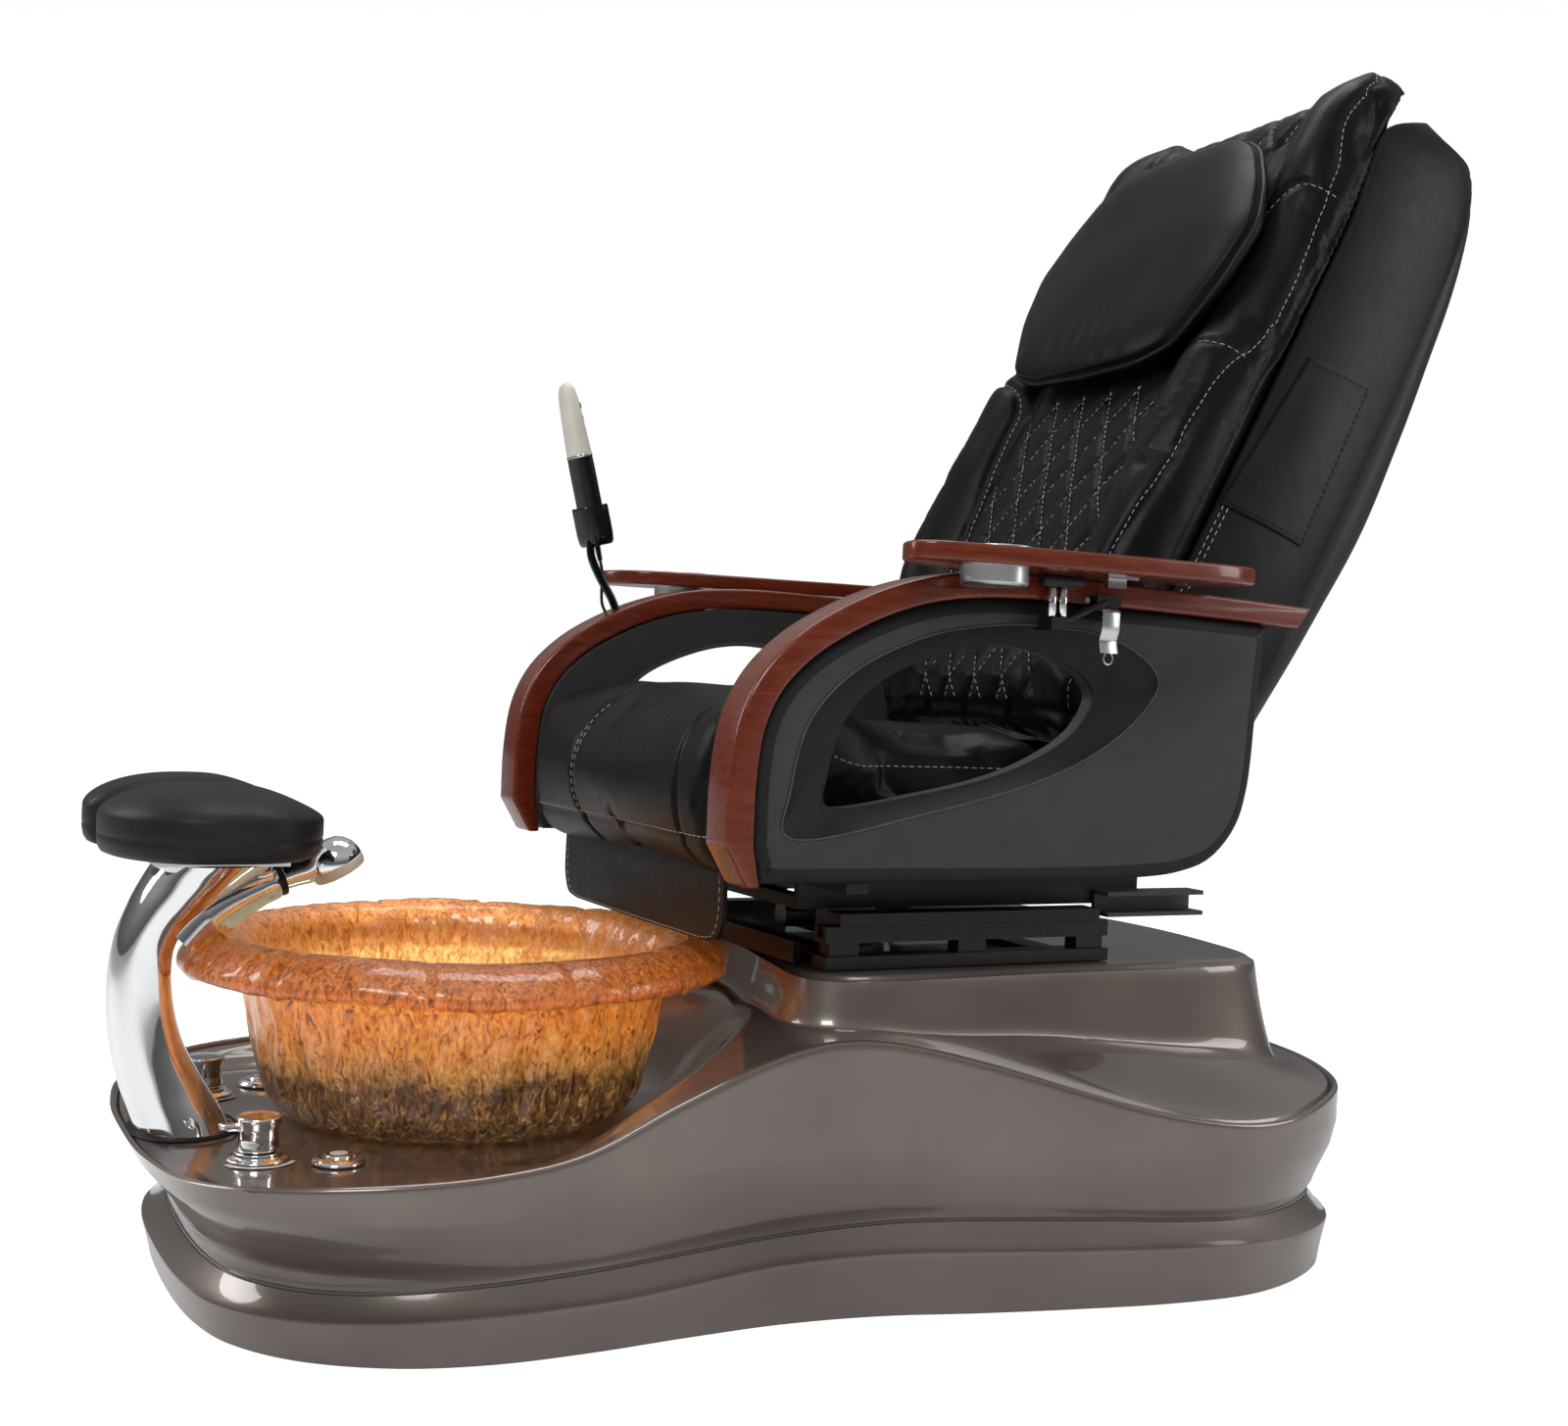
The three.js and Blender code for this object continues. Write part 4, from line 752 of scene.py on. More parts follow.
def build_bowl():
    outer = fillet([(0.0, 0.1575), (0.158, 0.1575), (0.186, 0.164), (0.204, 0.19), (0.213, 0.23), (0.221, 0.272),
                    (0.227, 0.305), (0.240, 0.3145), (0.268, 0.3150), (0.290, 0.3170), (0.2958, 0.3225),
                    (0.2945, 0.332), (0.282, 0.347), (0.262, 0.3565), (0.246, 0.3575), (0.230, 0.351),
                    (0.220, 0.336), (0.215, 0.314), (0.210, 0.27), (0.203, 0.228), (0.194, 0.192),
                    (0.178, 0.176), (0.156, 0.168), (0.0, 0.168)], 0.012, 3)
    line = resample(outer[2:-2], 190)
    line = np.vstack([[0.0, 0.1575], [0.08, 0.1575], line, [0.08, 0.168], [0.0, 0.168]])
    sides = 260
    angle = around(sides)
    ripple = np.zeros((len(line), sides))
    for k in range(60):
        waves = int(rng.integers(9, 70))
        phase, drift = rng.uniform(0, 2 * math.pi), rng.uniform(-14, 14)
        size = 0.00135 / (1 + waves / 26)
        ripple += size * 0.42 * np.sin(waves * angle[None, :] + phase + drift * line[:, 1:2] * 6)
    rim = smoothstep(0.232, 0.262, line[:, 0])[:, None]
    body = smoothstep(0.12, 0.17, line[:, 0])[:, None]
    folds = 0.0034 * np.exp(-((angle[None, :] * 12 / (2 * math.pi) + 0.3) % 1.0 - 0.5) ** 2 / 0.0012)
    wave = 0.0015 * np.sin(5 * angle + 0.6) + 0.0008 * np.sin(9 * angle + 2.0)
    radius = np.minimum(line[:, 0:1] + ripple * body * (1 - 0.6 * rim) * 1.2 - folds * rim * 0.7, 0.2965)
    z = line[:, 1:2] + rim * (wave[None, :] - folds) + ripple * rim * 0.35
    circle = superellipse(sides, 1, 1, 1)
    rings = [level(BOWL + r[:, None] * circle, h) for r, h in zip(radius, z)]
    crest = int(np.argmax(line[:, 1]))
    for name, part, caps, look in (("outside", rings[:crest + 1], (True, False), AMBER),
                                   ("inside", rings[crest:], (False, True), AMBER_INNER_LIT)):
        piece(f"glass_bowl_{name}", *tube(part, *caps), look, "base", "amber_glass", ("glass_bowl",), 0)

    turned("drain_flange_turned", [(0.017, 0.12), (0.021, 0.12), (0.021, 0.1684), (0.032, 0.1684), (0.031, 0.171),
                                   (0.026, 0.1716), (0.017, 0.171), (0.017, 0.12)],
           DRAIN_X, 0, CHROME, "base", "chrome", ("drain_flange",), 48, 0.0006)
    turned("drain_stopper_turned", [(0, 0.135), (0.005, 0.135), (0.005, 0.1716), (0.024, 0.1716), (0.0252, 0.173),
                                    (0.023, 0.1752), (0.012, 0.1766), (0, 0.177)],
           DRAIN_X, 0, CHROME, "drain_stopper", "chrome", ("drain_stopper",), 48, 0.0006)
    rings = lathe(fillet([(0.034, 0.1724), (0.0385, 0.1724), (0.038, 0.186), (0.033, 0.192), (0.020, 0.1936),
                          (0.008, 0.1936), (0.008, 0.190), (0.020, 0.1898), (0.031, 0.188), (0.034, 0.183),
                          (0.034, 0.1724)], 0.0014), JET_X, 0, 60)
    piece("jet_cap_slotted", *tube(rings, False, False), CHROME, "base", "chrome", ("jet_cap",), 50)
    slots = []
    for turn in around(9):
        c, s = math.cos(turn), math.sin(turn)
        verts, faces = box((-0.006, 0.006), (-0.0042, 0.0042), (0.177, 0.185))
        slots.append(([(JET_X + 0.0365 * c + x * c - y * s, 0.0365 * s + x * s + y * c, z) for x, y, z in verts],
                      faces))
    piece("jet_cap_slots", *joined(slots), PLASTIC, "base", "black_plastic", (), 30)


# Column, spray and footrest --------------------------------------------------------------------------

SPRAY_MOUTH = np.array([-0.557, 0, 0.412])
SPRAY_AXIS = np.array([math.cos(math.radians(20)), 0, math.sin(math.radians(20))])


def on_spray(distance):
    return SPRAY_MOUTH + SPRAY_AXIS * distance


def build_column():
    levels = [(0.1503, -0.692, -0.595, 0.060), (0.176, -0.698, -0.606, 0.055), (0.205, -0.708, -0.624, 0.049),
              (0.250, -0.719, -0.648, 0.043), (0.303, -0.723, -0.660, 0.040), (0.350, -0.718, -0.658, 0.042),
              (0.388, -0.705, -0.625, 0.050), (0.414, -0.692, -0.588, 0.058), (0.432, -0.681, -0.562, 0.066)]
    rings = [level(superellipse(80, (x1 - x0) / 2, half, 0.82) + ((x0 + x1) / 2, 0), z)
             for z, x0, x1, half in spline(levels, 64)]
    middle = rings[-1].mean(0)
    rings.append(middle + (rings[-1] - middle) * 0.975 + (0, 0, 0.0006))
    reach = spline([(-0.655, 0, 0.352), (-0.632, 0, 0.377), (-0.600, 0, 0.3955), on_spray(-0.012), on_spray(0.0)], 40)
    swell = np.interp(np.linspace(0, 1, 40), [0, 0.3, 0.62, 0.85, 0.985, 1],
                      [0.036, 0.034, 0.027, 0.0205, 0.019, 0.0172])
    piece("column_swoosh", *joined([tube(rings), sweep(reach, swell, 48)]), CHROME, "base", "chrome", ("column",), 40)
    ring = rings[0][:, :2]
    away = ring - ring.mean(0)
    away /= np.linalg.norm(away, axis=1)[:, None]
    foot = [level(ring + away * grow, z)
            for grow, z in ((0.0055, 0.1575), (0.0065, 0.1590), (0.0045, 0.1612), (0.0012, 0.1612))]
    piece("column_gasket", *tube(foot, False, False), RUBBER, "base", "black_plastic")

    collar = sweep([on_spray(d) for d in (0.0003, 0.001, 0.006, 0.007)], [0.0168, 0.018, 0.018, 0.0168], 40)
    piece("spray_socket_ring", *collar, PLASTIC, "base", "black_plastic", ("spray_socket",), 40)
    head = np.array([-0.496, 0, 0.430])
    facing = np.array([0.5, 0, -0.866])
    neck = spline([on_spray(0.008), on_spray(0.022), on_spray(0.036), head - facing * 0.016 - (0.004, 0, 0)], 14)
    grip = sweep(neck, np.interp(np.linspace(0, 1, 14), [0, 0.3, 0.7, 1], [0.0130, 0.0142, 0.0165, 0.0200]), 40)
    plug = sweep([on_spray(-0.046), on_spray(0.009)], [0.0125, 0.0125], 24)
    dome = sweep([head + facing * d for d in (-0.026, -0.0245, -0.020, -0.013, -0.006, -0.0015, 0.0005, 0.0008)],
                 [0.0080, 0.0140, 0.0205, 0.0258, 0.0283, 0.0291, 0.0290, 0.0280], 56)
    piece("spray_head", *joined([grip, plug, dome]), CHROME, "spray", "chrome", ("spray_handle",), 40)
    plate_parts = [sweep([head + facing * d for d in (0.0008, 0.0016, 0.0022, 0.0095, 0.0118, 0.0125)],
                         [0.0280, 0.0286, 0.0292, 0.0284, 0.0272, 0.0250], 56)]
    side = np.array([0, 1.0, 0])
    up = np.cross(facing, side)
    for radius, count in ((0.0, 1), (0.006, 6), (0.0115, 12), (0.017, 18)):
        for turn in around(count):
            at = head + side * radius * math.cos(turn) + up * radius * math.sin(turn)
            plate_parts.append(sweep([at + facing * 0.012, at + facing * 0.0142], [0.0011, 0.0007], 8))
    piece("spray_plate", *joined(plate_parts), IVORY, "spray", "ivory_plastic", ("spray_face",), 40)


def build_footrest():
    """Two foot-shaped lobes side by side, a valley with a notched front between them, a seam round the side."""
    half_x, half_y, centre_x = 0.111, 0.193, -0.637
    angle = around(320)
    y = half_y * signed_power(np.sin(angle), 0.86)
    lobe = np.abs(np.abs(y) - 0.095) / 0.098
    reach = half_x * (1 - 0.10 * lobe ** 2) * np.abs(np.cos(angle)) ** 0.60
    notch = np.exp(-(y / 0.019) ** 2)
    x = np.where(np.cos(angle) < 0, -reach * (1 - 0.40 * notch), reach * (1 - 0.06 * notch))
    middle = np.array([centre_x, 0.0])
    outward = np.column_stack([x, y])
    shoulder_z = 0.484
    rings = [level(middle + outward * share, z) for share, z in (
        (0.84, 0.4464), (0.91, 0.4468), (0.960, 0.449), (0.984, 0.4535), (0.996, 0.460), (0.9985, 0.4650),
        (0.9945, 0.4662), (0.9945, 0.4674), (0.9995, 0.4690), (1.0, 0.476), (0.999, shoulder_z))]
    for share in 1 - np.linspace(0.015, 1, 60) ** 1.4:
        line = middle + outward * share
        along, side = line[:, 0] - centre_x, np.abs(line[:, 1])
        slope = 0.014 * (along / half_x) ** 2 + 0.010 * smoothstep(0.02, half_x, along)
        crown = 0.006 * ((side - 0.100) / 0.09) ** 2
        valley = 0.034 * np.exp(-(side / 0.018) ** 2) * (1 - 0.35 * smoothstep(0.0, 0.09, along))
        top = 0.5195 - slope - crown - valley
        rings.append(level(line, shoulder_z + (top - shoulder_z) * (1 - share ** 5) ** 0.5))
    pad = piece("footrest_cushion", *tube(rings), PAD, "footrest", "charcoal_pad", ("footrest_pad",), 0)


# Knobs and air buttons -------------------------------------------------------------------------------

KNOB = (-0.597, 0.147)
BUTTON = (-0.527, 0.182)


def build_fittings():
    for name, side in SIDES:
        x, y = KNOB[0], side * KNOB[1]
        turned(f"knob_collar_{name}", [(0, 0.1573), (0.030, 0.1573), (0.0298, 0.1592), (0.0272, 0.1605),
                                       (0.0235, 0.1615), (0.0228, 0.1655), (0, 0.1655)],
               x, y, CHROME, "base", "chrome", (f"knob_base_{name}",), 64, 0.0008)
        grip = lathe(fillet([(0, 0.1665), (0.0192, 0.1665), (0.0198, 0.170), (0.0188, 0.178), (0.0190, 0.188),
                             (0.0212, 0.1955), (0.0216, 0.1985), (0.0205, 0.2), (0.017, 0.1988), (0, 0.1985)],
                            0.0014), x, y, 64)
        lever = sweep([(x - 0.012, y, 0.1885), (x - 0.030, y, 0.1905), (x - 0.036, y, 0.191), (x - 0.038, y, 0.191)],
                      [0.0042, 0.0042, 0.0040, 0.0024], 24)
        boss = sweep([(x - 0.004, y + side * 0.019, 0.180), (x - 0.004, y + side * 0.0225, 0.180)],
                     [0.0034, 0.0030], 20)
        piece(f"knob_grip_{name}", *joined([tube(grip), lever, boss]), CHROME, f"knob_{name}", "chrome",
              (f"knob_{name}",), 40)

        x, y = BUTTON[0], side * BUTTON[1]
        turned(f"air_button_ring_{name}", [(0.0152, 0.1573), (0.026, 0.1573), (0.0258, 0.1592), (0.0235, 0.1618),
                                           (0.0195, 0.1632), (0.0160, 0.1628), (0.0152, 0.1610), (0.0152, 0.1573)],
               x, y, CHROME, "base", "chrome", (f"button_bezel_{name}",), 64, 0.0006)
        turned(f"air_button_cap_{name}", [(0, 0.161), (0.0140, 0.161), (0.0140, 0.1642), (0.0128, 0.1656),
                                          (0.009, 0.1662), (0, 0.1664)],
               x, y, CHROME, f"button_{name}", "chrome", (f"button_{name}",), 64, 0.0006)
        mark = [level(superellipse(40, 0.0088 * size, 0.0062 * size, 1.0) + (x, y), z)
                for size, z in ((1.0, 0.1662), (0.97, 0.1668), (0.4, 0.1670))]
        piece(f"air_button_mark_{name}", *tube(mark, False, True), IVORY, f"button_{name}", "ivory_plastic")
        # pale crescent round the knob, without words
        arc = np.linspace(math.radians(200), math.radians(330), 28)
        crescent = [level((KNOB[0], side * KNOB[1]) + r * np.column_stack([np.cos(arc), np.sin(arc)]), z)
                    for r, z in ((0.0325, 0.1572), (0.0325, 0.1576), (0.0375, 0.1576), (0.0375, 0.1572))]
        piece(f"knob_scale_{name}", np.vstack(crescent), grid_faces(4, 28, False), IVORY, "base", "ivory_plastic")


# Seat ------------------------------------------------------------------------------------------------

SEAT_HALF = 0.272
SEAT_SLACK = 0.006            # room left for the pressure to fill
CLOTH_FRAMES = 20
SEAT_SIDE = [(0.232, 0.467), (0.06, 0.466), (-0.06, 0.462), (-0.116, 0.441), (-0.162, 0.440), (-0.182, 0.462),
             (-0.190, 0.520), (-0.189, 0.560), (-0.175, 0.600), (-0.142, 0.619), (-0.092, 0.624), (-0.030, 0.616),
             (0.040, 0.588), (0.120, 0.580), (0.236, 0.578)]


def inflate(obj, cap, pressure):
    """Crowns a cushion by running cloth pressure inside it, then keeps the settled form."""
    for other in bpy.context.selected_objects:
        other.select_set(False)
    bpy.context.view_layer.objects.active = obj
    obj.select_set(True)
    remesh = obj.modifiers.new("even", "REMESH")
    remesh.mode = "VOXEL"
    remesh.voxel_size = 0.006
    bpy.ops.object.modifier_apply(modifier=remesh.name)
    before = np.array([v.co for v in obj.data.vertices])
    cloth = obj.modifiers.new("inflate", "CLOTH")
    settings = cloth.settings
    settings.quality = 5
    settings.mass = 0.3
    settings.tension_stiffness = settings.compression_stiffness = 18
    settings.shear_stiffness = 10
    settings.bending_stiffness = 0.6
    settings.use_pressure = True
    settings.uniform_pressure_force = pressure
    settings.effector_weights.gravity = 0
    cloth.collision_settings.use_self_collision = False
    cloth.point_cache.frame_start, cloth.point_cache.frame_end = 1, CLOTH_FRAMES
    scene = bpy.context.scene
    for number in range(1, CLOTH_FRAMES + 1):
        scene.frame_set(number)
    bpy.ops.object.modifier_apply(modifier=cloth.name)
    move = np.array([v.co for v in obj.data.vertices]) - before
    size = np.linalg.norm(move, axis=1)[:, None]
    limited = before + move * np.minimum(1, cap / np.maximum(size, 1e-9))
    obj.data.vertices.foreach_set("co", limited.ravel())
    obj.data.update()
    scene.frame_set(1)


def relax(bm, verts, rounds):
    for _ in range(rounds):
        bmesh.ops.smooth_vert(bm, verts=verts, factor=0.5, use_axis_x=True, use_axis_y=True, use_axis_z=True)


def refine(obj, grid_fill, rounds=0, soften=None):
    """Halves every edge and evens the mesh out; soften(points) picks points to even out much more."""
    bm = bmesh.new()
    bm.from_mesh(obj.data)
    bmesh.ops.subdivide_edges(bm, edges=bm.edges, cuts=1, use_grid_fill=grid_fill)
    relax(bm, bm.verts, rounds)
    if soften:
        picked = soften(np.array([v.co for v in bm.verts]))
        relax(bm, [v for v, pick in zip(bm.verts, picked) if pick], 12)
    bm.to_mesh(obj.data)
    bm.free()
    obj.data.shade_smooth()


def sculpt(obj, function):
    """Moves every vertex by function(points, normals) -> offsets along the normal."""
    mesh = obj.data
    count = len(mesh.vertices)
    points = np.empty(count * 3)
    normals = np.empty(count * 3)
    mesh.vertices.foreach_get("co", points)
    mesh.vertices.foreach_get("normal", normals)
    points, normals = points.reshape(-1, 3), normals.reshape(-1, 3)
    mesh.vertices.foreach_set("co", (points + normals * function(points, normals)[:, None]).ravel())
    mesh.update()


def traced(obj, rays, direction=None, least=0.0):
    """Points just proud of the surface where rays meet it, unless it lies steeper to them than least allows."""
    path = []
    for ray in rays:
        start, along = (ray, direction) if direction is not None else ray
        hit, place, normal, _ = obj.ray_cast(tuple(start), tuple(along))
        if hit and abs(normal.dot(Vector(along))) >= least:
            path.append(np.array(place) + np.array(normal) * PROUD)
    return np.array(path)


def seat_surface(points, normals):
    """Seams, creases and wrinkles of the seat."""
    x, y, z = points.T
    up = smoothstep(0.15, 0.6, normals[:, 2])
    wrap = np.where(x < -0.1, 1.0, smoothstep(0.5, 0.56, z))
    seam = 0.0045 * np.exp(-((y - SEAT_SEAM) / 0.0055) ** 2) * wrap
    crease = 0.004 * np.exp(-((y - SEAT_SEAM_NEAR) / 0.004) ** 2) * wrap * smoothstep(0.1, -0.06, x)
    channel = 0.003 * np.exp(-((x - 0.058 - 0.02 * np.cos(y * 6)) / 0.006) ** 2) * up * (np.abs(y) < 0.21)
    wrinkle = 0.0009 * np.sin(31 * y + 12 * x) * np.sin(17 * x - 9 * y) * up
    low = np.where(z < 0.52, 0.0026 * np.exp(-((z - 0.474) / 0.0045) ** 2), 0) * (np.abs(normals[:, 2]) < 0.7)
    return -(seam + crease + channel + low) + wrinkle


def build_seat():
    side = resample(spline(SEAT_SIDE + [SEAT_SIDE[0]], 220), 190)
    away = side - side.mean(0)
    away /= np.linalg.norm(away, axis=1)[:, None]
    ends = [(0.95, 0.0035), (0.985, 0.0135), (1.0, 0.030)]
    slices = [(-y, inset) for y, inset in ends[::-1]] + [(y, 0.0) for y in np.linspace(-0.9, 0.9, 61)] + ends
    rings = [in_plane(side - away * (inset + SEAT_SLACK * 0.4), y * (SEAT_HALF - SEAT_SLACK)) for y, inset in slices]
    seat = piece("seat_cushion_upholstery", *tube(rings), LEATHER, "seat", "black_leather", ("seat_cushion",), 0)
    inflate(seat, 0.014, 3.2)
    refine(seat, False, 1)
    sculpt(seat, seat_surface)
    # what still bulges past the room between the arms is flattened
    sculpt(seat, lambda p, n: -np.clip(np.abs(p[:, 1]) - 0.2765, 0, 1) * (n[:, 1] * p[:, 1] > 0))

    threads = []
    for y in (SEAT_SEAM - 0.0048, SEAT_SEAM + 0.0048):
        rays = [((x, y, 0.9), (0, 0, -1)) for x in np.linspace(0.2, -0.10, 60)]
        rays += [((-0.4, y, z), (1, 0, 0)) for z in np.linspace(0.605, 0.475, 28)]
        threads.append(stitches(traced(seat, rays), *SEAM_STITCH))
    front = [(-0.5, y, 0.4795) for y in np.linspace(-0.262, 0.262, 90)]
    threads.append(stitches(traced(seat, front, (1, 0, 0)), *SEAM_STITCH))
    for _, s in SIDES:
        edge = [(x, s * 0.5, 0.556 + 0.035 * smoothstep(0, -0.12, x)) for x in np.linspace(0.19, -0.165, 90)]
        threads.append(stitches(traced(seat, edge, (0, -s, 0)), *FINE_STITCH))
    piece("seat_stitching", *joined(threads), WHITE_THREAD, "seat", "black_leather", (), 0)


def build_apron():
    """Flap that hangs below the front of the seat."""
    outline = [(-0.232, 0.447), (-0.234, 0.395), (-0.222, 0.369), (-0.190, 0.364), (0.0, 0.3635), (0.190, 0.364),
               (0.222, 0.369), (0.234, 0.395), (0.232, 0.447)]
    line = resample(fillet(outline, 0.012, 6), 150)
    centre = np.array([0.0, 0.42])

    def ring(share, x):
        return np.column_stack([np.full(len(line), x), centre + (line - centre) * share])

    shares = (0.0, 0.25, 0.5, 0.75, 0.93, 1.0)
    front = [ring(share, -0.1482 - 0.0012 * math.sin(math.pi * share)) for share in shares]
    back = [ring(share, -0.1438 + 0.0012 * math.sin(math.pi * share)) for share in shares[::-1]]
    apron = piece("seat_apron_flap", *tube(front + back, False, False), LEATHER, "seat", "black_leather",
                  ("seat_apron",), 40)
    piece("seat_apron_stitching", *stitches(ring(0.955, -0.1485), *FINE_STITCH), WHITE_THREAD, "seat",
          "black_leather", (), 0)


SEAT_SEAM = 0.098
SEAT_SEAM_NEAR = -0.196


# Back ------------------------------------------------------------------------------------------------

FOOT = np.array([0.300, 0.0, 0.590])
TILT = math.radians(28)
BACK_AXES = (np.array([math.cos(TILT), 0, -math.sin(TILT)]), np.array([math.sin(TILT), 0, math.cos(TILT)]))


def on_back(depth, y, rise):
    """Points from the back's own frame: depth rearwards, y sideways, rise along the back."""
    depth, y, rise = np.broadcast_arrays(np.asarray(depth, float), np.asarray(y, float), np.asarray(rise, float))
    rearward, along = BACK_AXES
    return FOOT + depth[..., None] * rearward + rise[..., None] * along + np.stack(
        [np.zeros(y.shape), y, np.zeros(y.shape)], -1)


def back_frame(points):
    """Back coordinates (depth, y, rise) of world points."""
    rearward, along = BACK_AXES
    away = points - FOOT
    return away @ rearward, points[:, 1], away @ along


COVER_LEVELS = [(-0.012, 0.198, 0.226), (0.060, 0.217, 0.238), (0.180, 0.231, 0.245), (0.300, 0.242, 0.248),
                (0.430, 0.251, 0.249), (0.560, 0.245, 0.249), (0.700, 0.234, 0.247), (0.820, 0.225, 0.243),
                (0.900, 0.208, 0.236), (0.940, 0.180, 0.222), (0.960, 0.130, 0.190)]
CUSHION_HALF = [(0.0, 0.230), (0.012, 0.240), (0.120, 0.255), (0.250, 0.262), (0.560, 0.262), (0.760, 0.259),
                (0.908, 0.252), (0.946, 0.236)]


def cushion_depth(y, rise, half):
    """Front surface of the back cushion, as depth in the back's frame (negative is towards the sitter)."""
    a = np.abs(y)
    centre = -0.040 - 0.010 * np.exp(-((rise - 0.32) / 0.20) ** 2)
    bolster = 0.036 * np.exp(-((a - 0.205) / 0.042) ** 2) * smoothstep(0.06, 0.22, rise) * (
        1 - 0.60 * smoothstep(0.48, 0.56, rise) + 0.35 * smoothstep(0.70, 0.80, rise)) * smoothstep(0.965, 0.85, rise)
    channel = 0.012 * np.exp(-((a - 0.150) / 0.016) ** 2) * smoothstep(0.05, 0.18, rise) * smoothstep(0.93, 0.80, rise)
    edge = 0.046 * smoothstep(0.86, 1.0, a / half) ** 1.5 * (1 - 0.55 * smoothstep(0.86, 0.935, rise))
    ends = 0.030 * (1 - smoothstep(0.0, 0.055, rise)) + 0.036 * smoothstep(0.87, 0.957, rise) ** 1.3 * (
        1 - 0.35 * smoothstep(0.12, 0.19, a))
    return centre - bolster + channel + edge + ends


def build_back_cushion():
    """Padded slab with two bolsters, whose top corners stand up as wings."""
    rows, columns = 150, 120
    rises = np.linspace(0.0, 0.946, rows)
    half = profile(CUSHION_HALF, rises) - 0.005
    front, back = [], []
    for rise, width in zip(rises, half):
        y = np.linspace(-width, width, columns)
        a = np.abs(y)
        raised = 0.019 * smoothstep(0.11, 0.200, a) * (1 - 0.6 * smoothstep(0.204, 0.234, a)) * (
            smoothstep(0.86, 0.946, rise))
        near = cushion_depth(y, rise, width)
        under = 0.046 - 0.050 * smoothstep(0.84, 1.0, a / width)
        wing = smoothstep(0.86, 0.935, rise) * smoothstep(0.13, 0.19, a)
        under += (near + 0.024 - under) * wing
        front.append(on_back(near, y, rise + raised))
        back.append(on_back(np.maximum(under, near + 0.010), y, rise + raised))
    count = rows * columns
    faces = grid_faces(rows, columns, False)
    faces += [tuple(i + count for i in face)[::-1] for face in faces]
    lines = [range(0, count, columns), range(columns - 1, count, columns), range(columns),
             range(count - columns, count)]
    for line, turned_round in zip(lines, (False, True, False, True)):
        rim = [(a, b, b + count, a + count) for a, b in zip(line, line[1:])]
        faces += [(a, d, c, b) for a, b, c, d in rim] if turned_round else rim
    rest = piece("back_cushion_upholstery", np.array(front + back).reshape(-1, 3), faces, LEATHER, "back",
                 "black_leather", ("back_cushion",), 0)
    inflate(rest, 0.012, 3.0)

    def near_top(points):
        depth, _, rise = back_frame(points)
        return (rise > 0.925) | ((rise > 0.86) & (depth > -0.012))

    refine(rest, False, 1, near_top)
    return rest


def distance_to_path(line, x, y):
    """Least distance from each point to an open path."""
    best = np.full(x.shape, np.inf)
    for (ax, ay), (bx, by) in zip(line, line[1:]):
        ex, ey = bx - ax, by - ay
        along = np.clip(((x - ax) * ex + (y - ay) * ey) / (ex * ex + ey * ey), 0, 1)
        best = np.minimum(best, np.hypot(ax + ex * along - x, ay + ey * along - y))
    return best


def back_surface(points, normals):
    """Quilted panel, seams and wrinkles of the back cushion."""
    depth, y, rise = back_frame(points)
    facing = normals @ BACK_AXES[0]
    front = smoothstep(-0.35, -0.75, facing)
    a = np.abs(y)
    panel = front * smoothstep(0.16, 0.14, a) * smoothstep(0.015, 0.05, rise) * smoothstep(0.935, 0.90, rise)
    panel *= 1 - smoothstep(0.46, 0.49, rise) * smoothstep(0.85, 0.82, rise)
    diagonals = [1 - np.abs(np.sin((y / QUILT_ACROSS + sign * rise / QUILT_ALONG) * math.pi)) ** 0.75
                 for sign in (1, -1)]
    tufts = (0.5 + 0.5 * np.cos(2 * math.pi * y / QUILT_ACROSS)) * (
        0.5 + 0.5 * np.cos(2 * math.pi * rise / QUILT_ALONG))
    quilting = 0.0062 * np.maximum(*diagonals) ** 2.4 - 0.0012 * tufts
    channel = np.zeros(len(y))
    for knots in (LOWER_SEAM, UPPER_SEAM, HOOD_SEAM):
        away = distance_to_path(spline(knots, 60), a, rise)
        channel = np.maximum(channel, 0.0050 * np.exp(-(away / 0.0055) ** 2) * front)
    long_seam = 0.0032 * np.exp(-((a - np.interp(rise, *LONG_SEAM)) / 0.0038) ** 2) * smoothstep(0.25, -0.2, facing)
    wrinkle = 0.0011 * np.sin(40 * rise + 13 * y) * np.sin(24 * y - 18 * rise) * front * smoothstep(0.13, 0.17, a)
    low = 0.0030 * np.exp(-((rise - 0.022) / 0.006) ** 2) * front
    return -(panel * quilting + channel + long_seam + low) + wrinkle


def quilt_lines():
    """Runs of (y, rise) down the quilting's diagonals, broken at the plain field behind the pillow."""
    for sign in (1, -1):
        for k in range(-8, 24):
            run = []
            for rise in np.linspace(0.03, 0.93, 220):
                y = QUILT_ACROSS * (k - sign * rise / QUILT_ALONG)
                if abs(y) > 0.139 or 0.475 < rise < 0.837:
                    yield run
                    run = []
                else:
                    run.append((y, rise))
            yield run


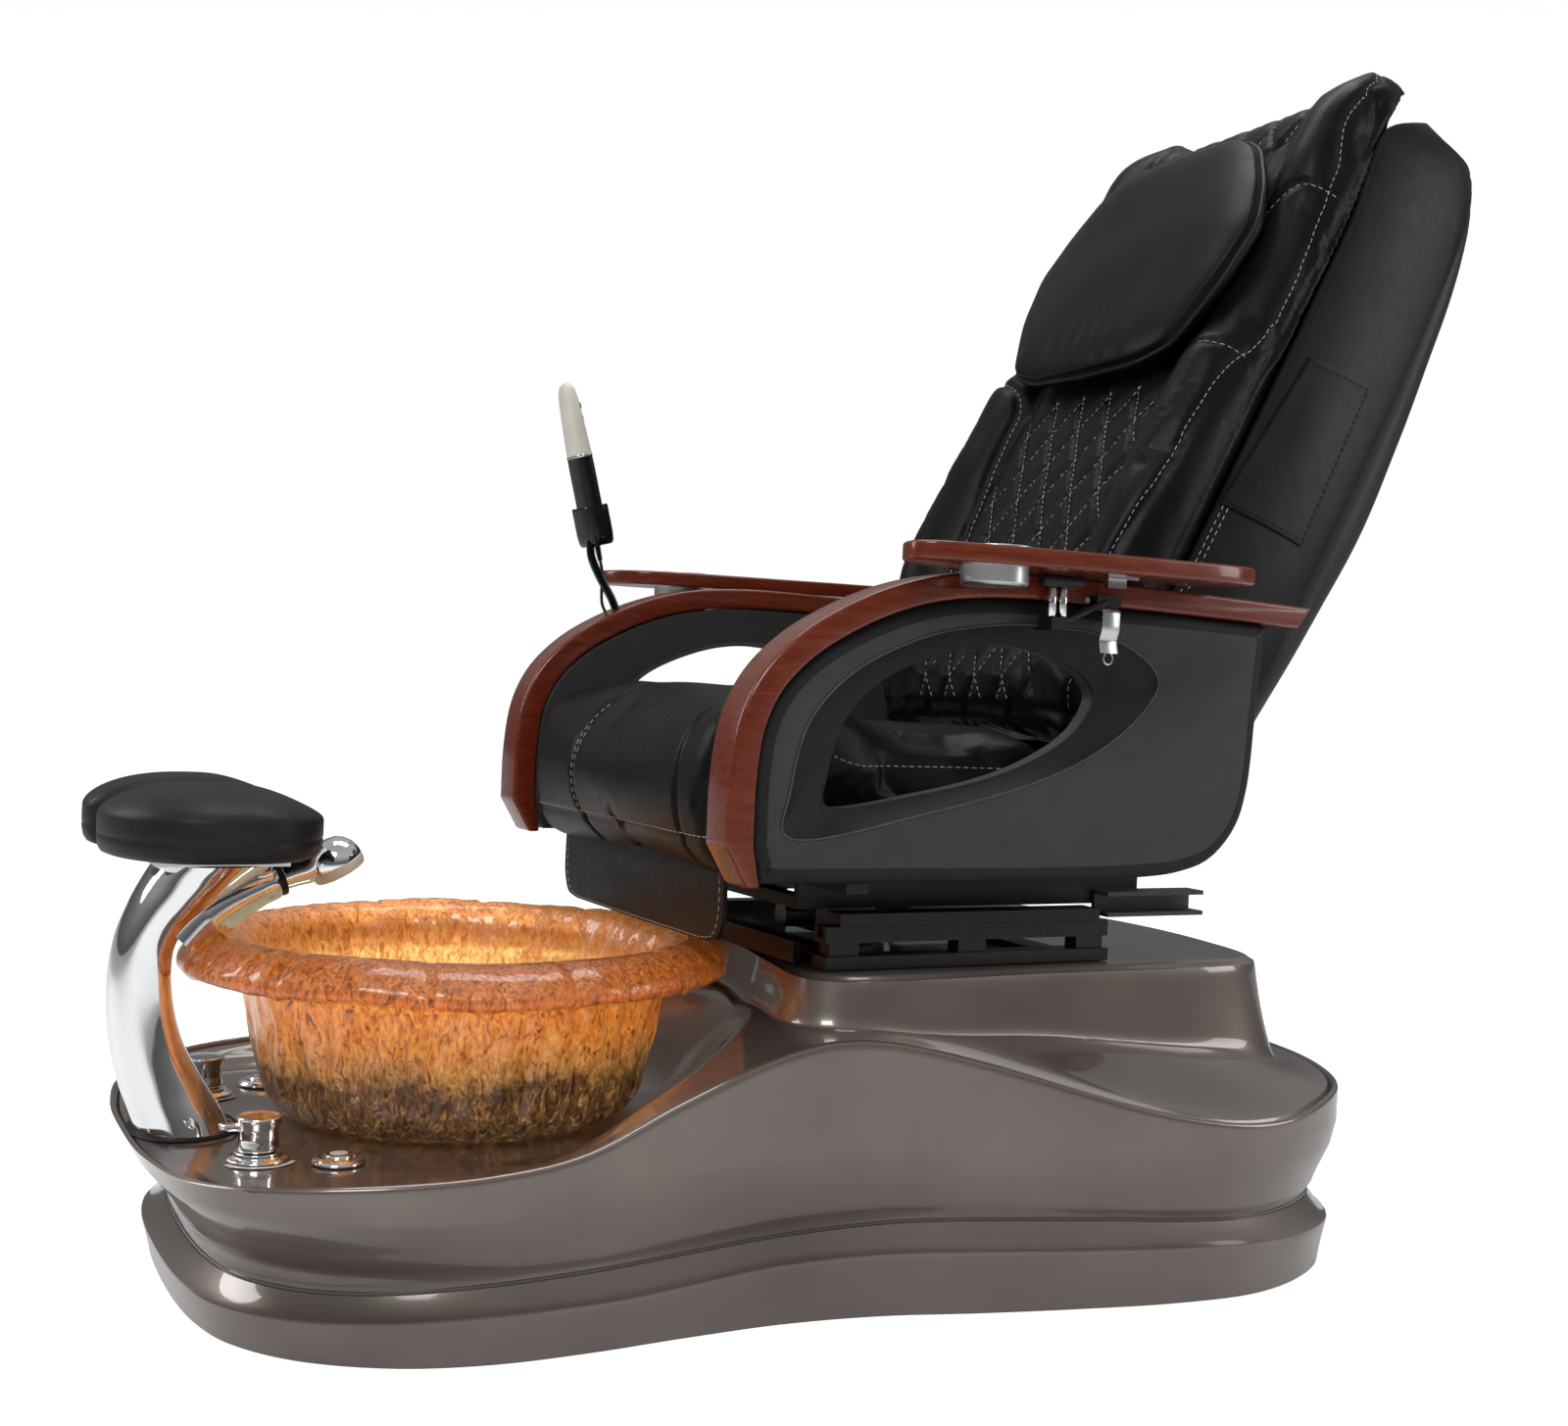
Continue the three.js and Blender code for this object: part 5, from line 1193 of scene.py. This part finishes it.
def build_back():
    rest = build_back_cushion()
    sculpt(rest, back_surface)

    lines = [(run, 0.0, QUILT_STITCH) for run in quilt_lines()]
    for _, s in SIDES:
        long_seam = [(s * (np.interp(rise, *LONG_SEAM) - 0.004), rise) for rise in np.linspace(0.03, 0.953, 260)]
        lines.append((long_seam, 0.12, SEAM_STITCH))
        lines += [([(s * y, rise) for y, rise in spline(knots, 120)], 0.0, FINE_STITCH)
                  for knots in (LOWER_SEAM, UPPER_SEAM)]
    threads = []
    for line, least, size in lines:
        path = traced(rest, [on_back(-0.16, y, rise) for y, rise in line], BACK_AXES[0], least)
        if len(path) > 3:
            threads.append(stitches(path, *size))
    piece("back_stitching", *joined(threads), WHITE_THREAD, "back", "black_leather", (), 0)


QUILT_ACROSS, QUILT_ALONG = 0.058, 0.104
LONG_SEAM = ([0.0, 0.10, 0.30, 0.62, 0.79, 0.84, 0.90, 0.935, 0.962],
             [0.205, 0.226, 0.243, 0.247, 0.243, 0.237, 0.233, 0.222, 0.202])
LOWER_SEAM = [(0.243, 0.505), (0.205, 0.502), (0.176, 0.488), (0.163, 0.462), (0.161, 0.42), (0.158, 0.37),
              (0.152, 0.31), (0.150, 0.25), (0.150, 0.08)]
UPPER_SEAM = [(0.244, 0.752), (0.222, 0.750), (0.200, 0.732), (0.180, 0.705), (0.163, 0.668), (0.152, 0.60)]
HOOD_SEAM = [(0.165, 0.925), (0.155, 0.880), (0.128, 0.845), (0.095, 0.828)]


def pillow_surface(points, normals):
    """Slack leather, gathered along the pillow's lower edge."""
    _, y, rise = back_frame(points)
    gather = 0.0006 * np.sin(88 * y + 9 * np.sin(14 * y)) * smoothstep(0.60, 0.50, rise) * smoothstep(0.476, 0.50, rise)
    slack = 0.0018 * np.sin(19 * y + 11 * rise) * np.sin(23 * rise - 7 * y)
    return (gather + slack) * smoothstep(-0.2, -0.6, normals @ BACK_AXES[0])


def build_pillow():
    half = resample(fillet([(0, 0.828), (0.110, 0.822), (0.152, 0.795), (0.196, 0.730), (0.222, 0.668), (0.205, 0.590),
                            (0.166, 0.500), (0.110, 0.482), (0, 0.478)], 0.018, 6), 90)
    line = resample(np.vstack([half, half[::-1] * (-1, 1)]), 168, True)
    centre = np.array([0.0, 0.655])

    def ring(share, depth):
        return on_back(depth, *(centre + (line - centre) * share).T)

    rings = [ring(share, depth) for share, depth in (
        (0.55, -0.0665), (0.75, -0.0668), (0.92, -0.069), (0.985, -0.075), (1.0, -0.083), (0.994, -0.0875),
        (0.9965, -0.0889), (0.9885, -0.0925))]
    rings += [ring(share, -0.0925 - 0.0185 * (1 - share ** 7) ** 0.55 - 0.003 * (1 - share ** 2))
              for share in (0.980, 0.968, 0.955, 0.94, 0.92, 0.90, 0.87, 0.83, 0.78, 0.71, 0.62, 0.50, 0.36,
                            0.20, 0.06)]
    pillow = piece("head_pillow_upholstery", *tube(rings), LEATHER, "pillow", "black_leather", ("head_pillow",), 0)
    refine(pillow, True)
    sculpt(pillow, pillow_surface)
    piece("pillow_piping", *sweep(ring(0.999, -0.0868), 0.0036, 12, True), LEATHER_SIDE, "pillow", "black_leather",
          (), 0)


# Shroud, shell and rear parts ------------------------------------------------------------------------

COVER_SPLIT = 0.186


def cover_size(rise):
    """Depth and half width of the back cover."""
    return [profile([(row[0], row[k]) for row in COVER_LEVELS], rise) for k in (1, 2)]


def cover_front(rise):
    return 0.018 - 0.010 * smoothstep(0.74, 0.84, rise) + 0.085 * smoothstep(0.86, 0.975, rise) ** 1.2


def cover_section(rise, start, stop, count):
    """Half section of the back cover in (depth, y) between two depths; None stands for its own ends."""
    depth, half = cover_size(rise)
    corner = 0.046 + 0.012 * smoothstep(0.7, 0.9, rise)
    turn = np.linspace(0, math.pi / 2, 16)
    line = np.vstack([[(cover_front(rise), half), (depth - corner, half)],
                      np.column_stack([depth - corner * (1 - np.sin(turn)), half - corner * (1 - np.cos(turn))])[1:],
                      [(depth, half * 0.4), (depth, 0.0)]])
    line[:, 0] = np.maximum(line[:, 0], line[0, 0])
    run = run_along(line)
    first = run[0] if start is None else np.interp(start, line[:17, 0], run[:17])
    last = run[-1] if stop is None else np.interp(stop, line[:17, 0], run[:17])
    at = np.linspace(first, last, count)
    return np.column_stack([np.interp(at, run, line[:, 0]), np.interp(at, run, line[:, 1])])


def cover_swell(depth, rise):
    """How far the padded side of the back cover stands proud of its flat section."""
    start = cover_front(rise)
    share = np.clip((np.asarray(depth, float) - start) / (COVER_SPLIT - start), 0, 1)
    return 0.0085 * np.sin(math.pi * share) ** 0.8 * smoothstep(-0.02, 0.22, rise)


def on_cover(s, depth, rise, proud):
    """Point a little proud of the cover's side."""
    return on_back(depth, s * (cover_size(rise)[1] + cover_swell(depth, rise) + proud), rise)


def build_shroud():
    """Leather sides and hood of the back."""
    parts = []
    for s in (-1, 1):
        rows = []
        for rise in np.linspace(-0.012, 0.928, 90):
            outer = cover_section(rise, None, COVER_SPLIT, 26)
            swell = cover_swell(outer[:, 0], rise)
            front = cover_front(rise)
            inner = [(COVER_SPLIT, outer[-1, 1] - 0.007), (front + 0.002, outer[0, 1] - 0.0075),
                     (front - 0.0012, outer[0, 1] - 0.0035)]
            loop = np.vstack([outer + np.column_stack([np.zeros(26), swell]), inner])
            rows.append(on_back(loop[:, 0], s * loop[:, 1], rise))
        parts.append(tube(rows))
    hood = []
    for rise in np.append(np.linspace(0.928, 0.948, 6), 0.948 + 0.012 * np.sin(np.linspace(0.2, math.pi / 2, 8))):
        half_line = cover_section(min(rise, 0.9595), None, None, 40)
        shrink = 1 - 0.10 * smoothstep(0.950, 0.960, rise) ** 2
        loop = np.vstack([half_line, half_line[::-1] * (1, -1)])
        hood.append(on_back(0.10 + (loop[:, 0] - 0.10) * shrink, loop[:, 1] * shrink, rise))
    piece("back_shroud_leather", *joined(parts + [tube(hood, False, True)]), LEATHER_SIDE, "back", "black_leather",
          ("back_shroud",), 50)


def build_shell():
    """Rigid rear shell behind the shroud."""
    rows = []
    for rise in np.linspace(-0.012, 0.9275, 90):
        half_line = cover_section(rise, COVER_SPLIT + 0.0006, None, 30)
        half_line[0] -= (0, 0.004)
        inner = half_line[::-1] - (0.006, 0)
        inner[-1] = half_line[0] - (0, 0.003)
        inner[:, 1] = np.clip(inner[:, 1] - 0.003, 0, 1)
        loop = np.vstack([half_line, half_line[-2::-1] * (1, -1), inner[:0:-1] * (1, -1), inner])
        rows.append(on_back(loop[:, 0], loop[:, 1], rise))
    piece("back_shell_moulded", *tube(rows), PANEL_DARK, "back", "grey_panel", ("back_shell",), 50)


def build_covers():
    build_shroud()
    build_shell()
    threads, white = [], []
    for s in (-1, 1):
        for shift, start, stop, kind in ((0.008, 0.30, 0.90, threads), (0.006, 0.02, 0.335, white),
                                         (0.013, 0.02, 0.335, white)):
            path = [on_cover(s, cover_front(rise) + shift, rise, 0.0005) for rise in np.linspace(start, stop, 200)]
            kind.append(stitches(path, *COVER_STITCH))
    corners = np.array([(0.042, 0.555), (0.139, 0.578), (0.147, 0.352), (0.019, 0.332)])
    edge = np.vstack([np.linspace(a, b, 24, endpoint=False) for a, b in zip(corners, np.roll(corners, -1, 0))])
    middle = corners.mean(0)

    def pocket(line, share, proud):
        return np.array([on_cover(-1, depth, rise, proud) for depth, rise in middle + (line - middle) * share])

    rows = [pocket(edge, share, proud) for share, proud in (
        (1.0, 0.0004), (1.004, 0.0016), (1.0, 0.0028), (0.975, 0.0031), (0.93, 0.0029), (0.6, 0.0036), (0.2, 0.004))]
    flap = piece("back_pocket_flap", *tube(rows), LEATHER_SIDE, "back", "black_leather", (), 40)
    threads.append(stitches(pocket(np.vstack([edge, edge[:1]]), 0.945, 0.0034), *POCKET_STITCH))
    piece("back_cover_dark_stitching", *joined(threads), BLACK_THREAD, "back", "black_leather", (), 0)
    piece("back_cover_white_stitching", *joined(white), WHITE_THREAD, "back", "black_leather", (), 0)


# Arms ------------------------------------------------------------------------------------------------

ARCH = [(-0.200, 0.478), (-0.199, 0.545), (-0.190, 0.605), (-0.168, 0.650), (-0.128, 0.690), (-0.075, 0.722),
        (-0.020, 0.745), (0.035, 0.759), (0.110, 0.766), (0.300, 0.762), (0.536, 0.752)]
EYE = [(-0.079, 0.519), (0.040, 0.531), (0.160, 0.562), (0.232, 0.604), (0.251, 0.640), (0.233, 0.664),
       (0.167, 0.686), (0.104, 0.688), (0.044, 0.675), (-0.025, 0.642), (-0.062, 0.600), (-0.078, 0.545)]
BEVEL = [(-0.134, 0.490), (0.030, 0.512), (0.214, 0.565), (0.300, 0.622), (0.322, 0.660), (0.276, 0.696),
         (0.180, 0.712), (0.081, 0.707), (0.010, 0.690), (-0.068, 0.650), (-0.112, 0.600), (-0.130, 0.530)]
PANEL_REAR = [(0.478, 0.727), (0.470, 0.640), (0.461, 0.540), (0.446, 0.497), (0.412, 0.462), (0.372, 0.448),
              (0.300, 0.441), (-0.158, 0.440)]
TRAY_LINE = [(-0.044, 0.415), (-0.028, 0.432), (0.020, 0.438), (0.120, 0.439), (0.260, 0.437), (0.360, 0.428),
             (0.392, 0.408), (0.398, 0.380), (0.386, 0.346), (0.340, 0.334), (0.200, 0.332), (0.060, 0.334),
             (-0.010, 0.350), (-0.038, 0.382)]
CUP = np.array([0.065, 0.392])
WOOD_IN, WOOD_OUT = 0.292, 0.345
PANEL_IN, PANEL_SPLIT, PANEL_OUT = 0.294, 0.317, 0.338


def arch_lines(depth):
    """Outer line of the wooden arch and the line below it, by the wood's thickness plus depth."""
    outer = spline(ARCH, 150)
    along = np.gradient(outer, axis=0)
    along /= np.linalg.norm(along, axis=1)[:, None]
    u = np.linspace(0, 1, len(outer))[:, None]
    return outer, outer + np.column_stack([along[:, 1], -along[:, 0]]) * (0.030 - 0.006 * u + depth)


def rounded(bevel, low, high, steps=4):
    """(inset, place) pairs that round a board over between two faces."""
    turns = [k / steps * math.pi / 2 for k in range(steps + 1)]
    return ([(bevel * (1 - math.sin(turn)), low + bevel * (1 - math.cos(turn))) for turn in turns]
            + [(bevel * (1 - math.sin(turn)), high - bevel * (1 - math.cos(turn))) for turn in turns[::-1]])


def plate(outline, low, high, bevel):
    """Flat board from an outline in (x, z), rounded over at both faces; low and high are y values."""
    rings = [in_plane(offset(outline, -inset), y) for inset, y in rounded(bevel, low, high)]
    count = len(outline)
    faces = grid_faces(len(rings), count)
    for first, ring in ((0, rings[0]), ((len(rings) - 1) * count, rings[-1])):
        flat = [Vector((x, z, 0)) for x, _, z in ring]
        faces += [tuple(i + first for i in face) for face in tessellate_polygon([flat])]
    return list(np.vstack(rings)), faces


def holed_face(outline, hole, lay, at):
    """Flat face between an outline and a hole, laid in its plane by level or in_plane."""
    loops = [[Vector((u, v, 0)) for u, v in loop] for loop in (outline, hole)]
    return list(lay(np.vstack([outline, hole]), at)), [tuple(face) for face in tessellate_polygon(loops)]


def strip(a, b):
    """Band of faces between two closed loops of equal length."""
    return list(np.vstack([a, b])), grid_faces(2, len(a))


def build_arm(name, s):
    body = f"arm_{name}"
    outer, inner = arch_lines(0.0)
    line = np.vstack([outer, inner[inner[:, 0] < 0.520][::-1], [(-0.162, 0.437), (-0.176, 0.437)]])
    line = resample(np.vstack([line, line[:1]]), 420, True)
    low, high = sorted((s * WOOD_IN, s * WOOD_OUT))
    piece(f"arm_wood_lacquered_{name}", *plate(line, low, high, 0.0042), WOOD, body, "mahogany",
          (f"arm_wood_{name}",), 50)

    # outer panel: border rolled over its edge, flat face, and a recess that falls to the window; border and recess are
    # near black, painted shade on the grey panel
    _, under = arch_lines(0.0003)
    crest = under[(under[:, 0] < 0.474) & (under[:, 1] > 0.450)]
    outline = np.vstack([crest, spline(PANEL_REAR, 90)])
    outline = resample(np.vstack([outline, outline[:1]]), 340, True)
    window, eye = spline(BEVEL, 160, True), spline(EYE, 160, True)
    face_y, split_y = s * PANEL_OUT, s * PANEL_SPLIT
    border = [in_plane(outline, split_y)] + [
        in_plane(offset(outline, -0.016 * (1 - math.cos(u))), face_y - s * 0.010 * (1 - math.sin(u)))
        for u in np.linspace(0, math.pi / 2, 9)]
    piece(f"arm_panel_border_{name}", *tube(border, False, False), PANEL_SHADE, body, "grey_panel", (), 40)
    brink = offset(window, 0.0016)
    parts = [holed_face(border[-1][:, ::2], brink, in_plane, face_y),
             strip(in_plane(brink, face_y), in_plane(window, face_y - s * 0.0011))]
    piece(f"arm_panel_face_{name}", *joined(parts), PANEL, body, "grey_panel", (f"arm_outer_panel_{name}",), 40)
    inner_loop = offset(eye, 0.002)
    window_turned = np.roll(window, -int(np.argmin(np.hypot(*(window - inner_loop[0]).T))), 0)
    rings = []
    for u in np.linspace(0, 1, 14):
        sag = 0.0018 * math.sin(math.pi * u)
        fall = 0.0011 + (PANEL_OUT - PANEL_SPLIT - 0.0015) * u ** 0.85 + sag
        rings.append(in_plane(window_turned + (inner_loop - window_turned) * u, face_y - s * fall))
    rings += [in_plane(eye, split_y), in_plane(eye, split_y - s * 0.003)]
    # the recess down to the window is near black: painted shade
    piece(f"arm_recess_{name}", *tube(rings, False, False), PANEL_SHADE, body, "grey_panel", (), 60)
    rim = in_plane(offset(window, 0.0006), face_y + s * 0.0002)
    piece(f"arm_recess_rim_{name}", *sweep(rim, 0.0011, 8, True), GREY_STEEL, body, "grey_panel", (), 60)

    # inner panel with the same opening, and two bolt caps
    inner_y, back_y = s * PANEL_IN, s * (PANEL_SPLIT - 0.0003)
    inside = offset(outline, -0.001)
    parts = [holed_face(offset(inside, -0.002), offset(eye, 0.002), in_plane, inner_y),
             holed_face(inside, eye, in_plane, back_y)]
    for edge, bevel in ((inside, -0.002), (eye, 0.002)):
        shoulder = in_plane(edge, inner_y + s * 0.002)
        parts += [strip(in_plane(offset(edge, bevel), inner_y), shoulder), strip(shoulder, in_plane(edge, back_y))]
    piece(f"arm_inner_face_{name}", *joined(parts), PANEL, body, "grey_panel", (f"arm_inner_panel_{name}",), 40)
    trim = [in_plane(offset(eye, grow), inner_y - s * 0.0003) for grow in (0.0005, 0.006)]
    piece(f"arm_eye_rim_{name}", *strip(*trim), GREY_STEEL, body, "grey_panel", (), 60)
    bolts = [sweep([(x, inner_y + s * 0.001, z), (x, inner_y - s * 0.0006, z), (x, inner_y - s * 0.0012, z)],
                   [0.0085, 0.0085, 0.006], 24) for x, z in ((0.262, 0.704), (0.292, 0.700))]
    piece(f"arm_bolt_caps_{name}", *joined(bolts), PLASTIC, body, "black_plastic", (), 50)


def build_tray(name, s):
    line = spline(TRAY_LINE, 260, True)
    hole = CUP + 0.0355 * superellipse(90, 1, 1, 1)
    low, high = 0.7666, 0.7856
    rings = [level(offset(line, -inset), z) for inset, z in rounded(0.0035, low, high)]
    keeper = box((0.222, 0.246), (0.366, 0.372), (0.7546, 0.7676))
    verts, faces = joined([tube(rings, False, False), holed_face(rings[0][:, :2], hole, level, low),
                           holed_face(rings[-1][:, :2], hole, level, high),
                           strip(level(hole, low), level(hole, high)), keeper])
    piece(f"tray_board_{name}", [(x, s * y, z) for x, y, z in verts], faces, WOOD, f"tray_{name}", "mahogany",
          (f"tray_{name}",), 45)
    turned(f"tray_cup_bright_{name}", [(0, 0.747), (0.032, 0.747), (0.035, 0.750), (0.035, 0.7859), (0.040, 0.7859),
                                       (0.0398, 0.7872), (0.0385, 0.7876), (0.034, 0.7876), (0.033, 0.7868),
                                       (0.033, 0.752), (0.031, 0.749), (0, 0.749)],
           CUP[0], s * CUP[1], STEEL, f"tray_{name}", "brushed_steel", (f"tray_cup_{name}",), 90, 0.0008)


def build_latch(name, s):
    """Bent clip on the post's pin with a ring pull, bright sleeves on the uprights and a hinge plate."""
    line = fillet([(0.3495, 0.733), (0.356, 0.7365), (0.3625, 0.732), (0.3625, 0.712), (0.3575, 0.700),
                   (0.3615, 0.6865)], 0.004, 5)
    along = np.gradient(line, axis=0)
    along /= np.linalg.norm(along, axis=1)[:, None]
    normal = np.column_stack([along[:, 1], -along[:, 0]])
    rings = []
    for x, inset in ((0.2245, 0.0004), (0.2251, 0.0), (0.2469, 0.0), (0.2475, 0.0004)):
        loop = np.vstack([line + normal * (0.0007 - inset), (line - normal * (0.0007 - inset))[::-1]])
        rings.append(np.column_stack([np.full(len(loop), x), loop * (s, 1)]))
    ring = sweep([(0.2355 + 0.006 * math.cos(a), s * 0.3600, 0.681 + 0.0065 * math.sin(a)) for a in around(28)],
                 0.0009, 8, True)
    boss = sweep([(0.236, s * 0.3492, 0.728), (0.236, s * 0.3615, 0.728)], [0.0052, 0.0052], 24)
    piece(f"tray_clip_{name}", *joined([tube(rings), ring, boss]), STEEL, f"tray_catch_{name}", "chrome",
          (f"tray_catch_{name}",), 35)
    sleeves = [sweep([(x, s * 0.355, z) for z in (0.7225, 0.7230, 0.7535, 0.7540)],
                     [0.0046, 0.0049, 0.0049, 0.0046], 20) for x in (0.163, 0.177)]
    bolt = sweep([(0.206, s * 0.3578, 0.742), (0.206, s * 0.3592, 0.742)], [0.0042, 0.0036], 6)
    piece(f"tray_post_sleeves_{name}", *joined(sleeves + [bolt]), CHROME, f"arm_{name}", "chrome", (), 35)
    leaves = [box((0.222, 0.246), sorted((s * 0.3722, s * 0.3734)), (0.7560, 0.7650)),
              box((0.214, 0.254), sorted((s * 0.3722, s * 0.384)), (0.7648, 0.7664))]
    piece(f"tray_hinge_plate_{name}", *joined(leaves), CHROME, f"tray_{name}", "chrome", (), 35)


# Remote and its cord ---------------------------------------------------------------------------------

REMOTE_FOOT = np.array([-0.088, 0.320, 0.812])
REMOTE_TILT = math.radians(-14.5)
NECK_FOOT = -0.062            # where the remote's gooseneck stands on the arm


def in_stand(x, y, z):
    x, y, z = np.broadcast_arrays(np.asarray(x, float), np.asarray(y, float), np.asarray(z, float))
    cos, sin = math.cos(REMOTE_TILT), math.sin(REMOTE_TILT)
    return np.stack([REMOTE_FOOT[0] + x * cos + z * sin, REMOTE_FOOT[1] + y, REMOTE_FOOT[2] - x * sin + z * cos], -1)


def remote_rings(levels):
    """Rings of the remote from its (height, depth, width) levels."""
    return [in_stand(*superellipse(72, deep / 2, wide / 2, 0.62).T, z) for z, deep, wide in levels]


def build_remote():
    levels = spline([(0.0095, 0.012, 0.038), (0.010, 0.018, 0.045), (0.014, 0.0215, 0.051), (0.024, 0.023, 0.054),
                     (0.066, 0.0232, 0.0545), (0.110, 0.023, 0.054), (0.150, 0.0205, 0.0495), (0.180, 0.018, 0.046),
                     (0.198, 0.0160, 0.0405), (0.2065, 0.0135, 0.0340), (0.2110, 0.0100, 0.0260),
                     (0.2133, 0.0055, 0.0150), (0.2140, 0.0012, 0.0040)], 60)
    rings = remote_rings(levels)
    split = int(np.argmax(levels[:, 0] > 0.118))
    piece("remote_upper", *tube(rings[split:], False, True), IVORY, "remote", "ivory_plastic", ("remote",), 0)
    piece("remote_lower", *tube(rings[:split + 1], True, False), GLOSS_BLACK, "remote", "black_plastic", (), 0)
    collar = remote_rings([(0.1165, 0.0232, 0.0542), (0.118, 0.0240, 0.0550), (0.1195, 0.0232, 0.0540)])
    piece("remote_parting_line", *tube(collar, False, False), CHROME, "remote", "black_plastic", (), 0)
    parts = []
    for k, z in enumerate(np.linspace(-0.019, 0.008, 10)):
        width = 0.0036 + 0.0015 * (k / 9)
        parts.append(sweep(in_stand(0, 0, z + np.array([-0.0011, -0.0005, 0.0005, 0.0011])),
                           [width * 0.72, width, width, width * 0.72], 24))
    parts.append(sweep(in_stand(0, 0, [-0.0202, 0.010]), [0.0026, 0.0036], 20))
    piece("remote_relief", *joined(parts), RUBBER, "remote", "black_plastic", (), 50)
    # buttons on the sitter's side, wider apart and lower on the thicker part
    ahead = in_stand(1.0, 0, 0) - in_stand(0, 0, 0)
    buttons = []
    for x, y, z in ((0.0087, 0.0115, 0.150), (0.0091, 0.010, 0.166), (0.0091, 0.010, 0.182)):
        for side in (-1, 1):
            centre = in_stand(x, side * y, z)
            buttons.append(sweep([centre, centre + ahead * 0.0012, centre + ahead * 0.0015],
                                 [0.0048, 0.0046, 0.0036], 20))
    piece("remote_buttons", *joined(buttons), PLASTIC, "remote", "black_plastic", (), 50)


def above_arch(x, rise):
    """Point above the right arm's wood, square to its surface."""
    line = spline(ARCH, 600)
    k = int(np.argmax((line[:, 0] > x) & (line[:, 1] > 0.6)))
    along = line[k] - line[k - 1]
    foot = line[k - 1] + along * (x - line[k - 1][0]) / along[0]
    normal = np.array([-along[1], along[0]]) / np.linalg.norm(along)
    return foot + normal * rise


def build_cord():
    """Lead from the foot of the remote down into the arm, all that the photograph shows of it."""
    exit_x, _, exit_z = in_stand(0, 0, -0.0205)
    low_x, _, low_z = in_stand(0, 0, -0.034)
    knots = [(exit_x, 0.320, exit_z), (low_x, 0.321, low_z)]
    for y, rise in ((0.325, 0.014), (0.326, 0.0007)):
        x, z = above_arch(-0.070, rise)
        knots.append((x, y, z))
    path = spline(knots, 60)
    cord = piece("remote_cord_jacket", *sweep(path, 0.002, 20), RUBBER, "arm_right", "cord_black", ("remote_cord",), 60)


def build_holder():
    """Moulded cradle round the foot of the remote, open towards the sitter, on a ribbed gooseneck."""
    outer, pocket, hole = (superellipse(96, *size) for size in (
        (0.018, 0.034, 0.62), (0.0133, 0.0293, 0.50), (0.008, 0.008, 1.0)))
    top = 0.052 - 0.034 * smoothstep(0.004, 0.013, outer[:, 0]) * smoothstep(0.0245, 0.0175, np.abs(outer[:, 1]))
    # outline, its size, foot height, and share of the way from there to the cradle's brim
    levels = [(hole, 1.0, 0.006, 0), (hole, 1.0, 0.0, 0), (outer, 0.78, 0.0, 0), (outer, 0.88, 0.001, 0),
              (outer, 0.955, 0.005, 0), (outer, 0.985, 0.012, 0)]
    levels += [(outer, 1.0, 0.016, share) for share in (0.0, 0.3, 0.6, 0.9)]
    levels += [(outer, 0.99, 0.016, 0.985), (outer, 0.96, 0.016, 1.0), (pocket, 1.04, 0.016, 1.0),
               (pocket, 1.0, 0.016, 0.96), (pocket, 1.0, 0.016, 0.4), (pocket, 1.0, 0.016, 0.0),
               (pocket, 1.0, 0.006, 0), (hole, 1.0, 0.006, 0)]
    rings = [in_stand(*(shape * size).T, low + (top - low) * share) for shape, size, low, share in levels]
    knots = [in_stand(-0.014, -0.014, 0.008), in_stand(-0.017, -0.015, -0.012), in_stand(-0.011, -0.013, -0.038)]
    for rise in (0.016, 0.0008):
        x, z = above_arch(NECK_FOOT, rise)
        knots.append((x, REMOTE_FOOT[1] - 0.010, z))
    ribs = 0.0053 + 0.0006 * np.cos(np.arange(181) * math.pi / 2)
    neck = sweep(spline(knots, 181), ribs, 28)
    piece("remote_holder_moulded", *joined([tube(rings, False, False), neck]), GLOSS_BLACK, "arm_right",
          "black_plastic", ("remote_holder",), 50)


build_tub()
build_bowl()
build_column()
build_footrest()
build_fittings()
build_seat()
build_apron()
build_back()
build_pillow()
build_covers()
for name, s in SIDES:
    build_arm(name, s)
    build_tray(name, s)
    build_latch(name, s)
build_remote()
build_cord()
build_holder()

CARRIED = {
    BLACK_STEEL: ["slide_base", "slide_rail_left", "slide_rail_right", "slider_left", "slider_right", "seat_frame",
                  "back_frame", "tray_post_left", "tray_post_right", "base_frame"],
    GREY_STEEL: ["rear_bracket"],
    CHROME: ["recline_rod", "footrest_bracket"],
    ALUMINIUM: ["slide_motor", "recline_actuator", "massage_carriage"],
    IVORY: ["massage_rollers", "jet_impeller"],
    PLASTIC: ["jet_pump"],
    PIPE: ["drain_tailpipe"],
}
for look, names in CARRIED.items():
    for name in names:
        dress(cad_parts[name], look)
